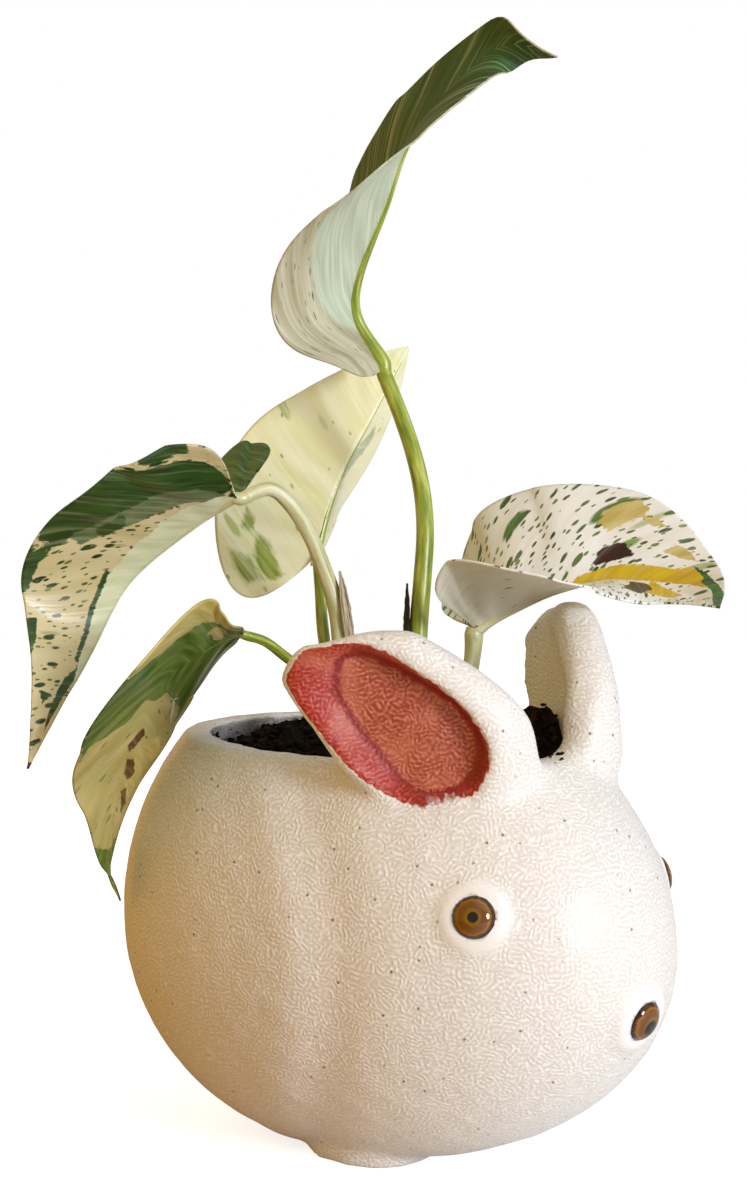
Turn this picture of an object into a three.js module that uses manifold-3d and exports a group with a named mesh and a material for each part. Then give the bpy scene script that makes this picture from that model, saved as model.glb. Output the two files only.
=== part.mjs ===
// A marble queen pothos with five leaves, growing in a white ceramic pot shaped like a sitting rabbit.
// Millimetres, +Z up. The origin is the centre of the flat base, and the rabbit faces -Y.

import * as THREE from "three";
import { mergeVertices } from "three/addons/utils/BufferGeometryUtils.js";
import Module from "manifold-3d";

const wasm = await Module();
wasm.setup();

// Clearance between pieces that touch
const GAP = 0.3;

// The pot's egg-shaped body, widest ahead of its middle
const BODY_HALF_WIDTH = 54;
const BODY_FRONT = 93;
const BODY_REAR = 62.5;
const BODY_MIDDLE_Y = 12.5;
const BODY_MIDDLE_Z = 55;
const BODY_TOP = 66.5;
const BODY_BOTTOM = 57.5;
const RIM_Z = 101;
const WALL = 5;
const FLOOR_Z = 9;

// The soft groove between the head and the body, and the low ridge behind it
const NECK_Y = -29;
const NECK_SWEEP = 17;
const NECK_DEPTH = 1.6;
const NECK_WIDTH = 6;
const RIDGE_BEHIND = 13;
const RIDGE_HEIGHT = 0.5;

// The ears, each a long cup on the rim
const EAR_HALF_THICKNESS = 8;
const EAR_DISH_DEPTH = 8.5;
const EAR_HOLLOW_DEPTH = 3.5;
const EAR_DISH_SHARE = 0.74;
const EAR_POINT = 3;

// The glass eyes and the glass nose
const BEAD_DIAMETER = 9.4;
const BEAD_DOME = 2.4;
const BEAD_SUNK = 3.5;
const BEAD_SIDES = 20;
const BEAD_EDGE_BELOW = 0.3;
const COLLAR_RADIUS = 8;
const COLLAR_HEIGHT = 0.9;
const COLLAR_ROUND = 2.6;
const EYE_X = 33;
const EYE_Z = 70.3;
const NOSE_Z = 45;

// Soil
const SOIL_EDGE_Z = 96.8;
const SOIL_RISE = 1.6;
const SOIL_CRUMBS = 0.6;
const SOIL_CELLS = 24;
const SOIL_BLOCK = 60;

// Leaves
const BLADE_THICKNESS = 0.8;
const BLADE_ROWS = 20;
const BLADE_COLUMNS = 4;
// Rows stand closer together near the lobes, and the side veins sweep towards the tip
const ROW_CROWDING = 1.6;
const VEIN_SWEEP = 1.3;
const MARGIN_SWEEP = 1.2;
const TIP_NARROWING = 0.18;
const PETIOLE_SIDES = 9;
const PETIOLE_STEPS = 16;
const VINE_THICK = 6;
const VINE_STEPS = 10;
// Facets smaller than this are cleaned out of the cut stalks
const SMALLEST_FACET = 0.03;

// Dry sheaths
const SHEATH_THICKNESS = 0.7;
const SHEATH_FLARE = 0.7;
const SHEATH_ROWS = 8;
const SHEATH_COLUMNS = 3;

const GLAZE = new THREE.MeshStandardMaterial({ color: "#eee6dc", roughness: 0.55, metalness: 0 });
const GLASS = new THREE.MeshStandardMaterial({ color: "#7a4312", roughness: 0.08, metalness: 0 });
const EARTH = new THREE.MeshStandardMaterial({ color: "#20150f", roughness: 0.95, metalness: 0 });
const STEM = new THREE.MeshStandardMaterial({ color: "#8fa23a", roughness: 0.45, metalness: 0 });
const PALE_STEM = new THREE.MeshStandardMaterial({ color: "#c3c99a", roughness: 0.45, metalness: 0 });
const DRY = new THREE.MeshStandardMaterial({ color: "#8a7358", roughness: 0.85, metalness: 0 });
const DARK_LEAF = new THREE.MeshStandardMaterial({ color: "#4d6b33", roughness: 0.4, metalness: 0 });
const CREAM_LEAF = new THREE.MeshStandardMaterial({ color: "#d3cda8", roughness: 0.4, metalness: 0 });
const YELLOW_LEAF = new THREE.MeshStandardMaterial({ color: "#dde0a6", roughness: 0.4, metalness: 0 });

// Solids and meshes

function solidOf(geometry) {
  const bare = geometry.clone();
  bare.deleteAttribute("normal");
  bare.deleteAttribute("uv");
  const merged = mergeVertices(bare, 1e-4);
  const vertProperties = new Float32Array(merged.getAttribute("position").array);
  const triVerts = new Uint32Array(merged.index.array);
  return new wasm.Manifold(new wasm.Mesh({ numProp: 3, vertProperties, triVerts }));
}

function geometryOf(solid) {
  const mesh = solid.getMesh();
  const geometry = new THREE.BufferGeometry();
  geometry.setAttribute("position", new THREE.BufferAttribute(mesh.vertProperties, 3));
  geometry.setIndex(new THREE.BufferAttribute(mesh.triVerts, 1));
  return geometry;
}

function largestPiece(solid) {
  const pieces = solid.decompose();
  return pieces.reduce((best, piece) => (piece.volume() > best.volume() ? piece : best));
}

const plant = new THREE.Group();
plant.name = "potted_pothos";

function addMesh(name, solid, material) {
  const mesh = new THREE.Mesh(geometryOf(solid), material);
  mesh.name = name;
  plant.add(mesh);
}

// A ball of unit directions, moved point by point by a formula
function shapedBall(around, upward, place) {
  const geometry = new THREE.SphereGeometry(1, around, upward);
  geometry.rotateX(Math.PI / 2);
  const position = geometry.getAttribute("position");
  const point = new THREE.Vector3();
  for (let i = 0; i < position.count; i += 1) {
    point.fromBufferAttribute(position, i);
    place(point);
    position.setXYZ(i, point.x, point.y, point.z);
  }
  return solidOf(geometry);
}

// A closed skin over rings of points: ring after ring, with one point at each end
function skinOf(rings, first, last) {
  const sides = rings[0].length;
  const points = [first, ...rings.flat(), last];
  const index = [];
  for (let k = 0; k < sides; k += 1) {
    const next = (k + 1) % sides;
    index.push(0, 1 + next, 1 + k);
    for (let r = 0; r < rings.length - 1; r += 1) {
      const a = 1 + r * sides + k;
      const b = 1 + r * sides + next;
      index.push(a, b, b + sides, a, b + sides, a + sides);
    }
    const top = 1 + (rings.length - 1) * sides;
    index.push(points.length - 1, top + k, top + next);
  }
  const geometry = new THREE.BufferGeometry();
  const vertices = points.flatMap((v) => v.toArray());
  geometry.setAttribute("position", new THREE.Float32BufferAttribute(vertices, 3));
  geometry.setIndex(index);
  return solidOf(geometry);
}

// The pot

function bell(distance, width) {
  return Math.exp(-((distance / width) ** 2));
}

// The groove runs behind the ear, down the cheek and under the chin
function neckY(z) {
  return NECK_Y + NECK_SWEEP * ((z - BODY_MIDDLE_Z) / 40) ** 2;
}

function bodyPoint(point, inset) {
  const side = BODY_HALF_WIDTH - inset;
  const along = (point.y < 0 ? BODY_FRONT : BODY_REAR) - inset;
  const high = (point.z > 0 ? BODY_TOP : BODY_BOTTOM) - inset;
  point.set(side * point.x, BODY_MIDDLE_Y + along * point.y, BODY_MIDDLE_Z + high * point.z);
}

function bodySkin(point) {
  const outward = point.clone();
  bodyPoint(point, 0);
  const beside = Math.min(1, Math.abs(point.x) / (0.4 * BODY_HALF_WIDTH));
  const groove = bell(point.y - neckY(point.z), NECK_WIDTH) * beside;
  const ridge = bell(point.y - neckY(point.z) - RIDGE_BEHIND, NECK_WIDTH) * beside;
  point.addScaledVector(outward, RIDGE_HEIGHT * ridge - NECK_DEPTH * groove);
}

const PAW = { x: 10.5, y: -3, z: 1.5, halfWidth: 13, halfLength: 15, height: 11 };

function paw(side) {
  return shapedBall(16, 10, (point) => {
    point.multiply(new THREE.Vector3(PAW.halfWidth, PAW.halfLength, PAW.height));
    point.add(new THREE.Vector3(side * PAW.x, PAW.y, PAW.z));
  });
}

// Stations of the right ear from its root at the front of the rim to its tip:
// the middle of the ear, its half height above and below that, and how far it leans out
const EAR_LINE = [
  { at: [-9, -52, 100], up: 4, down: 8, lean: 0 },
  { at: [-17, -50, 104.5], up: 12, down: 13, lean: 0 },
  { at: [-25.5, -41.5, 109.5], up: 16.5, down: 19, lean: 0 },
  { at: [-33.5, -31, 113], up: 20, down: 17.5, lean: 0.04 },
  { at: [-41, -21.5, 118], up: 15, down: 9.5, lean: 0.08 },
  { at: [-45.5, -14.5, 122.5], up: 7, down: 4.5, lean: 0.08 },
];
const EAR_STATIONS = 13;
const EAR_SIDES = 20;
// Shaped by hand, the left ear stands a little higher at its tip
const EAR_LIFT = 3;

function ear(side) {
  const line = new THREE.CatmullRomCurve3(EAR_LINE.map((s) => new THREE.Vector3(...s.at)));
  const sizes = new THREE.CatmullRomCurve3(EAR_LINE.map((s) => new THREE.Vector3(s.up, s.down, s.lean)));
  const rings = [];
  for (let i = 0; i < EAR_STATIONS; i += 1) {
    const t = i / (EAR_STATIONS - 1);
    const centre = line.getPoint(t);
    centre.z += side > 0 ? EAR_LIFT * t : 0;
    const along = line.getTangent(t);
    const size = sizes.getPoint(t);
    const down = new THREE.Vector3(0, 0, -1).addScaledVector(along, along.z).normalize();
    const out = along.clone().cross(down).normalize();
    const lean = size.z;
    const downward = down.clone().multiplyScalar(Math.cos(lean)).addScaledVector(out, -Math.sin(lean));
    const outward = out.clone().multiplyScalar(Math.cos(lean)).addScaledVector(down, Math.sin(lean));
    const taper = Math.sin(Math.PI * (0.16 + 0.7 * t)) ** 0.6;
    const ring = [];
    for (let k = 0; k < EAR_SIDES; k += 1) {
      const angle = (2 * Math.PI * k) / EAR_SIDES;
      const w = Math.cos(angle);
      const n = Math.sin(angle);
      const ends = Math.sin(Math.PI * Math.min(1, t * 1.02)) ** 0.4;
      const inDish = Math.max(0, 1 - (w / EAR_DISH_SHARE) ** 2) ** 0.6 * ends;
      const dish = n > 0 ? EAR_DISH_DEPTH * inDish : -EAR_HOLLOW_DEPTH * inDish;
      const proud = EAR_HALF_THICKNESS * taper * Math.sign(n) * Math.abs(n) ** 0.6 - dish * taper;
      const height = w * (w < 0 ? size.x : size.y);
      const point = centre.clone().addScaledVector(downward, height).addScaledVector(outward, proud);
      point.x *= -side;
      ring.push(point);
    }
    rings.push(side < 0 ? ring : ring.reverse());
  }
  const root = line.getPoint(0).addScaledVector(line.getTangent(0), -EAR_POINT);
  const tip = line.getPoint(1).addScaledVector(line.getTangent(1), EAR_POINT);
  root.x *= -side;
  tip.x *= -side;
  tip.z += side > 0 ? EAR_LIFT : 0;
  return skinOf(rings, root, tip);
}

// Where an eye or the nose sits: a point on the front of the body and the way it looks
function faceSeat(x, z) {
  const high = z > BODY_MIDDLE_Z ? BODY_TOP : BODY_BOTTOM;
  const upward = (z - BODY_MIDDLE_Z) / high;
  const sideward = x / BODY_HALF_WIDTH;
  const forward = Math.sqrt(1 - upward ** 2 - sideward ** 2);
  const at = new THREE.Vector3(x, BODY_MIDDLE_Y - BODY_FRONT * forward, z);
  const looks = new THREE.Vector3(sideward / BODY_HALF_WIDTH, -forward / BODY_FRONT, upward / high);
  return { at, looks: looks.normalize() };
}

function turned(profile, seat) {
  const geometry = new THREE.LatheGeometry(profile.map(([r, h]) => new THREE.Vector2(r, h)), BEAD_SIDES);
  const turn = new THREE.Quaternion().setFromUnitVectors(new THREE.Vector3(0, 1, 0), seat.looks);
  geometry.applyQuaternion(turn);
  geometry.translate(...seat.at.toArray());
  return solidOf(geometry);
}

function collar(seat) {
  const profile = [[0, -6], [COLLAR_RADIUS, -6], [COLLAR_RADIUS, -0.6]];
  for (let i = 1; i <= 4; i += 1) {
    const angle = (Math.PI / 2) * (i / 4);
    profile.push([COLLAR_RADIUS - COLLAR_ROUND * Math.sin(angle), COLLAR_HEIGHT - 1.9 * Math.cos(angle)]);
  }
  profile.push([0, COLLAR_HEIGHT]);
  return turned(profile, seat);
}

function beadSeat(seat) {
  const radius = BEAD_DIAMETER / 2 + GAP;
  return turned([[0, -BEAD_SUNK - GAP], [radius, -BEAD_SUNK - GAP], [radius, 8], [0, 8]], seat);
}

function bead(seat) {
  const radius = BEAD_DIAMETER / 2;
  const edge = COLLAR_HEIGHT - BEAD_EDGE_BELOW;
  const profile = [[0, -BEAD_SUNK], [radius, -BEAD_SUNK], [radius, edge]];
  for (let i = 1; i < 5; i += 1) {
    const angle = (Math.PI / 2) * (i / 5);
    profile.push([radius * Math.cos(angle), edge + BEAD_DOME * Math.sin(angle)]);
  }
  profile.push([0, edge + BEAD_DOME]);
  return turned(profile, seat);
}

const SEATS = {
  eye_right: faceSeat(-EYE_X, EYE_Z),
  eye_left: faceSeat(EYE_X, EYE_Z),
  nose_bead: faceSeat(0, NOSE_Z),
};

function slab(bottom, top) {
  const size = 400;
  const geometry = new THREE.BoxGeometry(size, size, top - bottom);
  geometry.translate(0, 0, (top + bottom) / 2);
  return solidOf(geometry);
}

// The hollow for the soil, with a flat floor
function hollow(inset) {
  const inside = shapedBall(28, 16, (point) => bodyPoint(point, WALL + inset));
  return inside.intersect(slab(FLOOR_Z + inset, 300));
}

function pot() {
  let body = shapedBall(48, 30, bodySkin).subtract(slab(RIM_Z, 300));
  for (const side of [-1, 1]) {
    body = body.add(ear(side)).add(paw(side));
  }
  for (const seat of Object.values(SEATS)) {
    body = body.add(collar(seat));
  }
  body = body.subtract(hollow(0)).subtract(slab(-100, 0));
  for (const seat of Object.values(SEATS)) {
    body = body.subtract(beadSeat(seat));
  }
  return largestPiece(body);
}

// Leaves: the blade is bent from a flat heart shape along its midrib

// Values at even stations along a leaf, joined by a smooth curve
function track(values, t) {
  const last = values.length - 1;
  const s = Math.min(Math.max(t, 0), 1 - 1e-9) * last;
  const i = Math.floor(s);
  const f = s - i;
  const before = i > 0 ? values[i - 1] : 2 * values[0] - values[1];
  const after = i + 2 <= last ? values[i + 2] : 2 * values[last] - values[last - 1];
  const [p, q] = [values[i], values[i + 1]];
  return 0.5 * (2 * p + (q - before) * f + (2 * before - 5 * p + 4 * q - after) * f ** 2
    + (3 * p - before - 3 * q + after) * f ** 3);
}

class Midrib {
  constructor(points) {
    this.tracks = [0, 1, 2].map((axis) => points.map((p) => p[axis]));
    this.steps = 200;
    this.far = [0];
    for (let i = 1; i <= this.steps; i += 1) {
      const step = this.point(i / this.steps).distanceTo(this.point((i - 1) / this.steps));
      this.far.push(this.far[i - 1] + step);
    }
    this.length = this.far[this.steps];
  }

  point(t) {
    return new THREE.Vector3(...this.tracks.map((values) => track(values, t)));
  }

  share(distance) {
    const wanted = Math.min(Math.max(distance, 0), this.length);
    let i = 1;
    while (i < this.steps && this.far[i] < wanted) {
      i += 1;
    }
    const f = (wanted - this.far[i - 1]) / (this.far[i] - this.far[i - 1]);
    return (i - 1 + f) / this.steps;
  }

  tangent(t) {
    const step = 0.01;
    return this.point(Math.min(1, t + step)).sub(this.point(Math.max(0, t - step))).normalize();
  }
}

// The flat outline: a margin point at share t from the lobes to the tip
function margin(leaf, length, t) {
  const lobe = leaf.lobe * ((t / leaf.lobeAt) * Math.exp(1 - t / leaf.lobeAt)) ** leaf.sinus;
  const x = length * (t ** MARGIN_SWEEP - lobe);
  const round = Math.sin(Math.PI * t ** leaf.fullness) ** leaf.roundness;
  return { x, y: leaf.halfWidth * round * (1 - TIP_NARROWING * t ** 5) };
}

// One point of the bent blade. share runs from the lobes to the tip, across from 0 at the midrib
// to 1 at the margin, and side is 1 for the near half and -1 for the far half
function bladePoint(leaf, rib, share, across, side) {
  const edge = margin(leaf, rib.length, share);
  const root = rib.length * share ** VEIN_SWEEP;
  const x = root + (edge.x - root) * across;
  const y = edge.y * across;
  const t = rib.share(x);
  const along = rib.tangent(t);
  const base = rib.point(t);
  if (x < 0) {
    base.addScaledVector(rib.tangent(0), x);
  }
  const face = leaf.faces.clone().addScaledVector(along, -leaf.faces.dot(along)).normalize();
  const cross = along.clone().cross(face);
  const roll = track(leaf.roll, t);
  const up = face.clone().multiplyScalar(Math.cos(roll)).addScaledVector(cross, Math.sin(roll));
  const out = along.clone().cross(up);
  const fold = track(side > 0 ? leaf.foldNear : leaf.foldFar, t);
  const curl = (side > 0 ? leaf.curlNear : leaf.curlFar) / leaf.halfWidth;
  const wave = leaf.wave * Math.sin((2 * Math.PI * x) / leaf.waveLength + side) * across ** 2 * (1 - share);
  const reach = (Math.sin(fold + curl * y) - Math.sin(fold)) / curl;
  const rise = (Math.cos(fold) - Math.cos(fold + curl * y)) / curl;
  return base.addScaledVector(out, side * reach).addScaledVector(up, rise + wave);
}

// A sheet of even thickness over rows of points, closed by one point at each end
function thickSheet(start, rows, end, thickness) {
  const width = rows[0].length;
  const sheet = [start, ...rows.flat(), end];
  const last = sheet.length - 1;
  const faces = [];
  for (let k = 0; k < width - 1; k += 1) {
    faces.push([0, 1 + k, 2 + k]);
    for (let r = 0; r < rows.length - 1; r += 1) {
      const a = 1 + r * width + k;
      faces.push([a, a + width, a + width + 1], [a, a + width + 1, a + 1]);
    }
    const edge = 1 + (rows.length - 1) * width + k;
    faces.push([edge, last, edge + 1]);
  }
  const normals = sheet.map(() => new THREE.Vector3());
  for (const [a, b, c] of faces) {
    const flat = sheet[b].clone().sub(sheet[a]).cross(sheet[c].clone().sub(sheet[a]));
    for (const corner of [a, b, c]) {
      normals[corner].add(flat);
    }
  }
  const half = thickness / 2;
  const upper = sheet.map((p, i) => p.clone().addScaledVector(normals[i].normalize(), half));
  const lower = sheet.map((p, i) => p.clone().addScaledVector(normals[i], -half));
  const count = sheet.length;
  const index = [];
  for (const [a, b, c] of faces) {
    index.push(a, b, c, count + a, count + c, count + b);
  }
  const left = rows.map((row, r) => 1 + r * width);
  const right = rows.map((row, r) => width + r * width);
  const rim = [0, ...left, last, ...right.reverse()];
  rim.forEach((a, i) => {
    const b = rim[(i + 1) % rim.length];
    index.push(a, count + a, count + b, a, count + b, b);
  });
  const geometry = new THREE.BufferGeometry();
  const vertices = [...upper, ...lower].flatMap((v) => v.toArray());
  geometry.setAttribute("position", new THREE.Float32BufferAttribute(vertices, 3));
  geometry.setIndex(index);
  const solid = solidOf(geometry);
  if (solid.volume() > 0) {
    return solid;
  }
  geometry.setIndex(index.map((value, i) => [value, index[i + 1], index[i - 1]][i % 3]));
  return solidOf(geometry);
}

function blade(leaf, thickness) {
  const rows = [];
  for (let i = 1; i < BLADE_ROWS; i += 1) {
    const share = (i / BLADE_ROWS) ** ROW_CROWDING;
    const row = [];
    for (let k = -BLADE_COLUMNS; k <= BLADE_COLUMNS; k += 1) {
      row.push(bladePoint(leaf, leaf.rib, share, Math.abs(k) / BLADE_COLUMNS, k < 0 ? -1 : 1));
    }
    rows.push(row);
  }
  return thickSheet(leaf.rib.point(0), rows, leaf.rib.point(1), thickness);
}

// A stalk along a smooth line, with its thickness changing evenly from one end to the other
function stalk(points, thickStart, thickEnd, steps) {
  const line = new THREE.CatmullRomCurve3(points.map((p) => new THREE.Vector3(...p)));
  const frames = line.computeFrenetFrames(steps, false);
  const rings = [];
  for (let i = 0; i <= steps; i += 1) {
    const radius = (thickStart + (thickEnd - thickStart) * (i / steps)) / 2;
    const centre = line.getPointAt(i / steps);
    const ring = [];
    for (let k = 0; k < PETIOLE_SIDES; k += 1) {
      const angle = (2 * Math.PI * k) / PETIOLE_SIDES;
      const point = centre.clone().addScaledVector(frames.normals[i], radius * Math.cos(angle));
      ring.push(point.addScaledVector(frames.binormals[i], radius * Math.sin(angle)));
    }
    rings.push(ring);
  }
  return skinOf(rings, line.getPointAt(0), line.getPointAt(1));
}

const LEAVES = {
  tall: {
    material: CREAM_LEAF,
    stalkMaterial: STEM,
    midrib: [[24.5, 26.7, 191.3], [18.6, 31.5, 208.7], [17.5, 18.6, 232.7], [18.5, 8.3, 251.6],
      [29, -9.3, 270.3], [30.5, -26.8, 266.5]],
    faces: new THREE.Vector3(-0.701, 0.713, 0.15),
    roll: [-0.14, -0.19, 0.07, 0.47, 0.71],
    foldNear: [0.16, 0.5, 0.15, 0.07],
    foldFar: [0.28, 0.38, 0.06, 0.25],
    halfWidth: 33,
    lobe: 0.015,
    stalk: [[15.5, 5.5, 105], [16.2, 6.1, 116], [17.4, 6.8, 126], [19.6, 7.5, 139], [21.7, 8.6, 150],
      [23.4, 11.2, 160], [24.6, 15.4, 170], [25, 20.5, 180]],
    thick: [5, 3.6],
  },
  back: {
    material: YELLOW_LEAF,
    stalkMaterial: STEM,
    midrib: [[13, 38.9, 144], [17.3, 38.8, 155.6], [26.3, 41.2, 167.3], [37.6, 43.9, 178.2],
      [51.8, 43.4, 197.8]],
    faces: new THREE.Vector3(-0.71, -0.7, 0.1),
    roll: [0.1, 0.1, 0.05, 0, 0],
    foldNear: [-1.55, -1.45, -1.4, -1.2],
    foldFar: [-0.3, -0.3, -0.2, -0.1],
    halfWidth: 30.5,
    fullness: 0.62,
    roundness: 0.72,
    lobe: 0.25,
    lobeAt: 0.045,
    sinus: 0.4,
    stalk: [[2.3, 19.1, 100.5], [3, 22.6, 104], [3.8, 25.2, 111], [4.6, 27, 119], [5.8, 29.6, 127],
      [8, 32.6, 135]],
    thick: [3.4, 2.4],
  },
  arching: {
    material: DARK_LEAF,
    stalkMaterial: PALE_STEM,
    midrib: [[-22.6, 30.1, 159.3], [-27.5, 42, 151.7], [-38.2, 53.3, 138.4], [-49.1, 54.6, 122.4],
      [-65.9, 47, 109.5], [-75.1, 47.4, 96.4]],
    faces: new THREE.Vector3(-0.701, 0.713, 0.6),
    roll: [0.38, 0.41, 0.51, 0.44, 0.37],
    foldNear: [0.55, 0.59, 0.51, 0.58],
    foldFar: [0.62, 0.36, 0.84, 0.54],
    halfWidth: 32.7,
    lobe: 0.12,
    stalk: [[2.2, 19.1, 104], [2.3, 19.3, 116], [2.2, 19.8, 126], [1.2, 20.8, 134], [-1, 22.4, 142],
      [-4, 24, 150], [-8.6, 26.1, 157.6], [-14, 28, 161.8]],
    thick: [4.8, 3.2],
  },
  low: {
    material: DARK_LEAF,
    stalkMaterial: STEM,
    midrib: [[-29.4, 21.8, 127.2], [-36.5, 25.1, 124.2], [-51, 26.2, 116.8], [-54.2, 33.7, 102.6],
      [-53.6, 41, 87.8], [-53.2, 44.5, 71.6], [-52, 41.2, 61.9]],
    faces: new THREE.Vector3(-0.705, 0.149, 0.634),
    roll: [0.5, 0.49, 0.55, 0.54, 0.59],
    foldNear: [-0.21, -0.28, -0.15, -0.13],
    foldFar: [0.19, 0.25, 0.26, 0.19],
    halfWidth: 22.5,
    lobe: 0.05,
    stalk: [[2.3, 19, 101], [-1.4, 19.8, 104.5], [-5, 20.2, 111.2], [-10.2, 20.5, 116.9],
      [-16.5, 20.3, 121], [-23, 20.2, 125]],
    thick: [3, 2.4],
  },
  right: {
    material: CREAM_LEAF,
    stalkMaterial: PALE_STEM,
    midrib: [[21, -8.9, 127.4], [27.6, -15.4, 131.4], [36.4, -23.9, 136.5], [45.7, -35.5, 139.5],
      [49.7, -52.3, 136.4], [42, -68.5, 134.8]],
    faces: new THREE.Vector3(0, 0, 1),
    roll: [-0.27, -0.03, 0.15, 0.14, -0.02],
    foldNear: [0.47, 0.31, 0.05, -0.05],
    foldFar: [0.6, 0.81, 0.85, 0.22],
    halfWidth: 32.8,
    lobe: 0.12,
    stalk: [[15.2, 5.2, 101], [16.7, 0.7, 103.2], [18.9, -4.2, 108.6], [20.4, -7.2, 115], [21, -8.4, 121]],
    thick: [4, 3.2],
  },
};

// The two pieces of vine that the petioles grow from
const VINES = {
  vine_back: [[3.5, 17, 62], [2.6, 18.4, 85], [2.2, 19.1, 110]],
  vine_front: [[13, 3, 62], [14.6, 4.7, 85], [15.6, 5.6, 110]],
};

function vineSolid([foot, middle, top], clearance) {
  const [footX, footY, footZ] = foot;
  const [topX, topY, topZ] = top;
  const line = [[footX, footY, footZ - clearance], middle, [topX, topY, topZ + clearance]];
  return stalk(line, VINE_THICK + 2 * clearance, VINE_THICK + 2 * clearance, VINE_STEPS);
}

// The dry sheaths: a thin strip curled around the foot of a petiole, pointed at both ends.
// from and to are shares of the petiole's length, and looks is the side it covers
const SHEATHS = {
  sheath_tall: { leaf: "tall", from: 0.06, to: 0.42, looks: [-1, -0.1, 0], spread: 1.15 },
  sheath_arching: { leaf: "arching", from: 0.18, to: 0.52, looks: [0.5, -1, 0], spread: 1.5 },
};

function sheath({ leaf, from, to, looks, spread }) {
  const { stalk: points, thick, rib } = LEAVES[leaf];
  const line = new THREE.CatmullRomCurve3([...points.map((p) => new THREE.Vector3(...p)), rib.point(0)]);
  const covered = new THREE.Vector3(...looks);
  const strip = (t, across) => {
    const share = from + (to - from) * t;
    const along = line.getTangentAt(share);
    const front = covered.clone().addScaledVector(along, -covered.dot(along)).normalize();
    const beside = along.clone().cross(front);
    const angle = across * spread * Math.sin(Math.PI * (0.06 + 0.94 * t)) ** 0.5;
    const petiole = (thick[0] + (thick[1] - thick[0]) * share) / 2;
    const radius = petiole + GAP + SHEATH_THICKNESS / 2 + SHEATH_FLARE * (0.5 + 0.8 * t);
    return line.getPointAt(share).addScaledVector(front, radius * Math.cos(angle))
      .addScaledVector(beside, radius * Math.sin(angle));
  };
  const rows = [];
  for (let i = 1; i < SHEATH_ROWS; i += 1) {
    const row = [];
    for (let k = -SHEATH_COLUMNS; k <= SHEATH_COLUMNS; k += 1) {
      row.push(strip(i / SHEATH_ROWS, k / SHEATH_COLUMNS));
    }
    rows.push(row);
  }
  return thickSheet(strip(0, 0), rows, strip(1, 0), SHEATH_THICKNESS);
}

for (const leaf of Object.values(LEAVES)) {
  leaf.rib = new Midrib(leaf.midrib);
  leaf.curlNear = leaf.curlNear ?? 0.01;
  leaf.curlFar = leaf.curlFar ?? 0.01;
  leaf.lobeAt = leaf.lobeAt ?? 0.1;
  leaf.fullness = leaf.fullness ?? 0.6;
  leaf.roundness = leaf.roundness ?? 1;
  leaf.sinus = leaf.sinus ?? 1;
  leaf.wave = leaf.wave ?? 0.8;
  leaf.waveLength = leaf.waveLength ?? 34;
}

// The ground is higher towards the back and crumbly on top
function groundZ(x, y) {
  const crumbs = Math.sin(x * 0.9) * Math.cos(y * 0.8) + 0.6 * Math.sin(x * 0.37 + y * 0.53);
  return SOIL_EDGE_Z + SOIL_RISE * Math.min(1, Math.max(0, (y + 40) / 60)) + SOIL_CRUMBS * crumbs;
}

function soil() {
  const wide = 2 * BODY_HALF_WIDTH;
  const long = BODY_FRONT + BODY_REAR;
  const cellsAlong = Math.round((SOIL_CELLS * long) / wide);
  const ground = new THREE.BoxGeometry(wide, long, SOIL_BLOCK, SOIL_CELLS, cellsAlong, 1);
  ground.translate(0, 0, RIM_Z - SOIL_BLOCK);
  const position = ground.getAttribute("position");
  for (let i = 0; i < position.count; i += 1) {
    const top = position.getZ(i) > RIM_Z - SOIL_BLOCK;
    position.setZ(i, top ? groundZ(position.getX(i), position.getY(i)) : 0);
  }
  return hollow(GAP).intersect(solidOf(ground));
}

addMesh("pot", pot(), GLAZE);
for (const [name, seat] of Object.entries(SEATS)) {
  addMesh(name, bead(seat), GLASS);
}

let filling = soil();
for (const points of Object.values(VINES)) {
  filling = filling.subtract(vineSolid(points, GAP));
}
addMesh("soil", largestPiece(filling), EARTH);
for (const [name, points] of Object.entries(VINES)) {
  addMesh(name, vineSolid(points, 0), STEM);
}

for (const [name, leaf] of Object.entries(LEAVES)) {
  addMesh(`blade_${name}`, blade(leaf, BLADE_THICKNESS), leaf.material);
  const root = leaf.rib.point(0);
  const along = root.clone().sub(new THREE.Vector3(...leaf.stalk.at(-1))).normalize();
  const end = root.clone().addScaledVector(along, -BLADE_THICKNESS / 2 - GAP);
  let petiole = stalk([...leaf.stalk, end.toArray()], ...leaf.thick, PETIOLE_STEPS);
  const around = blade(leaf, BLADE_THICKNESS + 2 * GAP);
  petiole = petiole.subtract(around).subtract(around.translate(along.multiplyScalar(-GAP).toArray()));
  for (const points of Object.values(VINES)) {
    petiole = petiole.subtract(vineSolid(points, GAP));
  }
  const cleaned = largestPiece(petiole).asOriginal().simplify(SMALLEST_FACET);
  addMesh(`petiole_${name}`, cleaned, leaf.stalkMaterial);
}
for (const [name, strip] of Object.entries(SHEATHS)) {
  addMesh(name, sheath(strip), DRY);
}

export default plant;
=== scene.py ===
# A marble queen pothos with five leaves, growing in a white ceramic pot shaped like a sitting rabbit.
# The pot stands at the origin on its flat base and faces -Y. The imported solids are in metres, and the
# sizes below are in millimetres, which MM turns to metres.
import math
import random

import bmesh
import bpy
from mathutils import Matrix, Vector, noise
from mathutils.bvhtree import BVHTree


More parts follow.
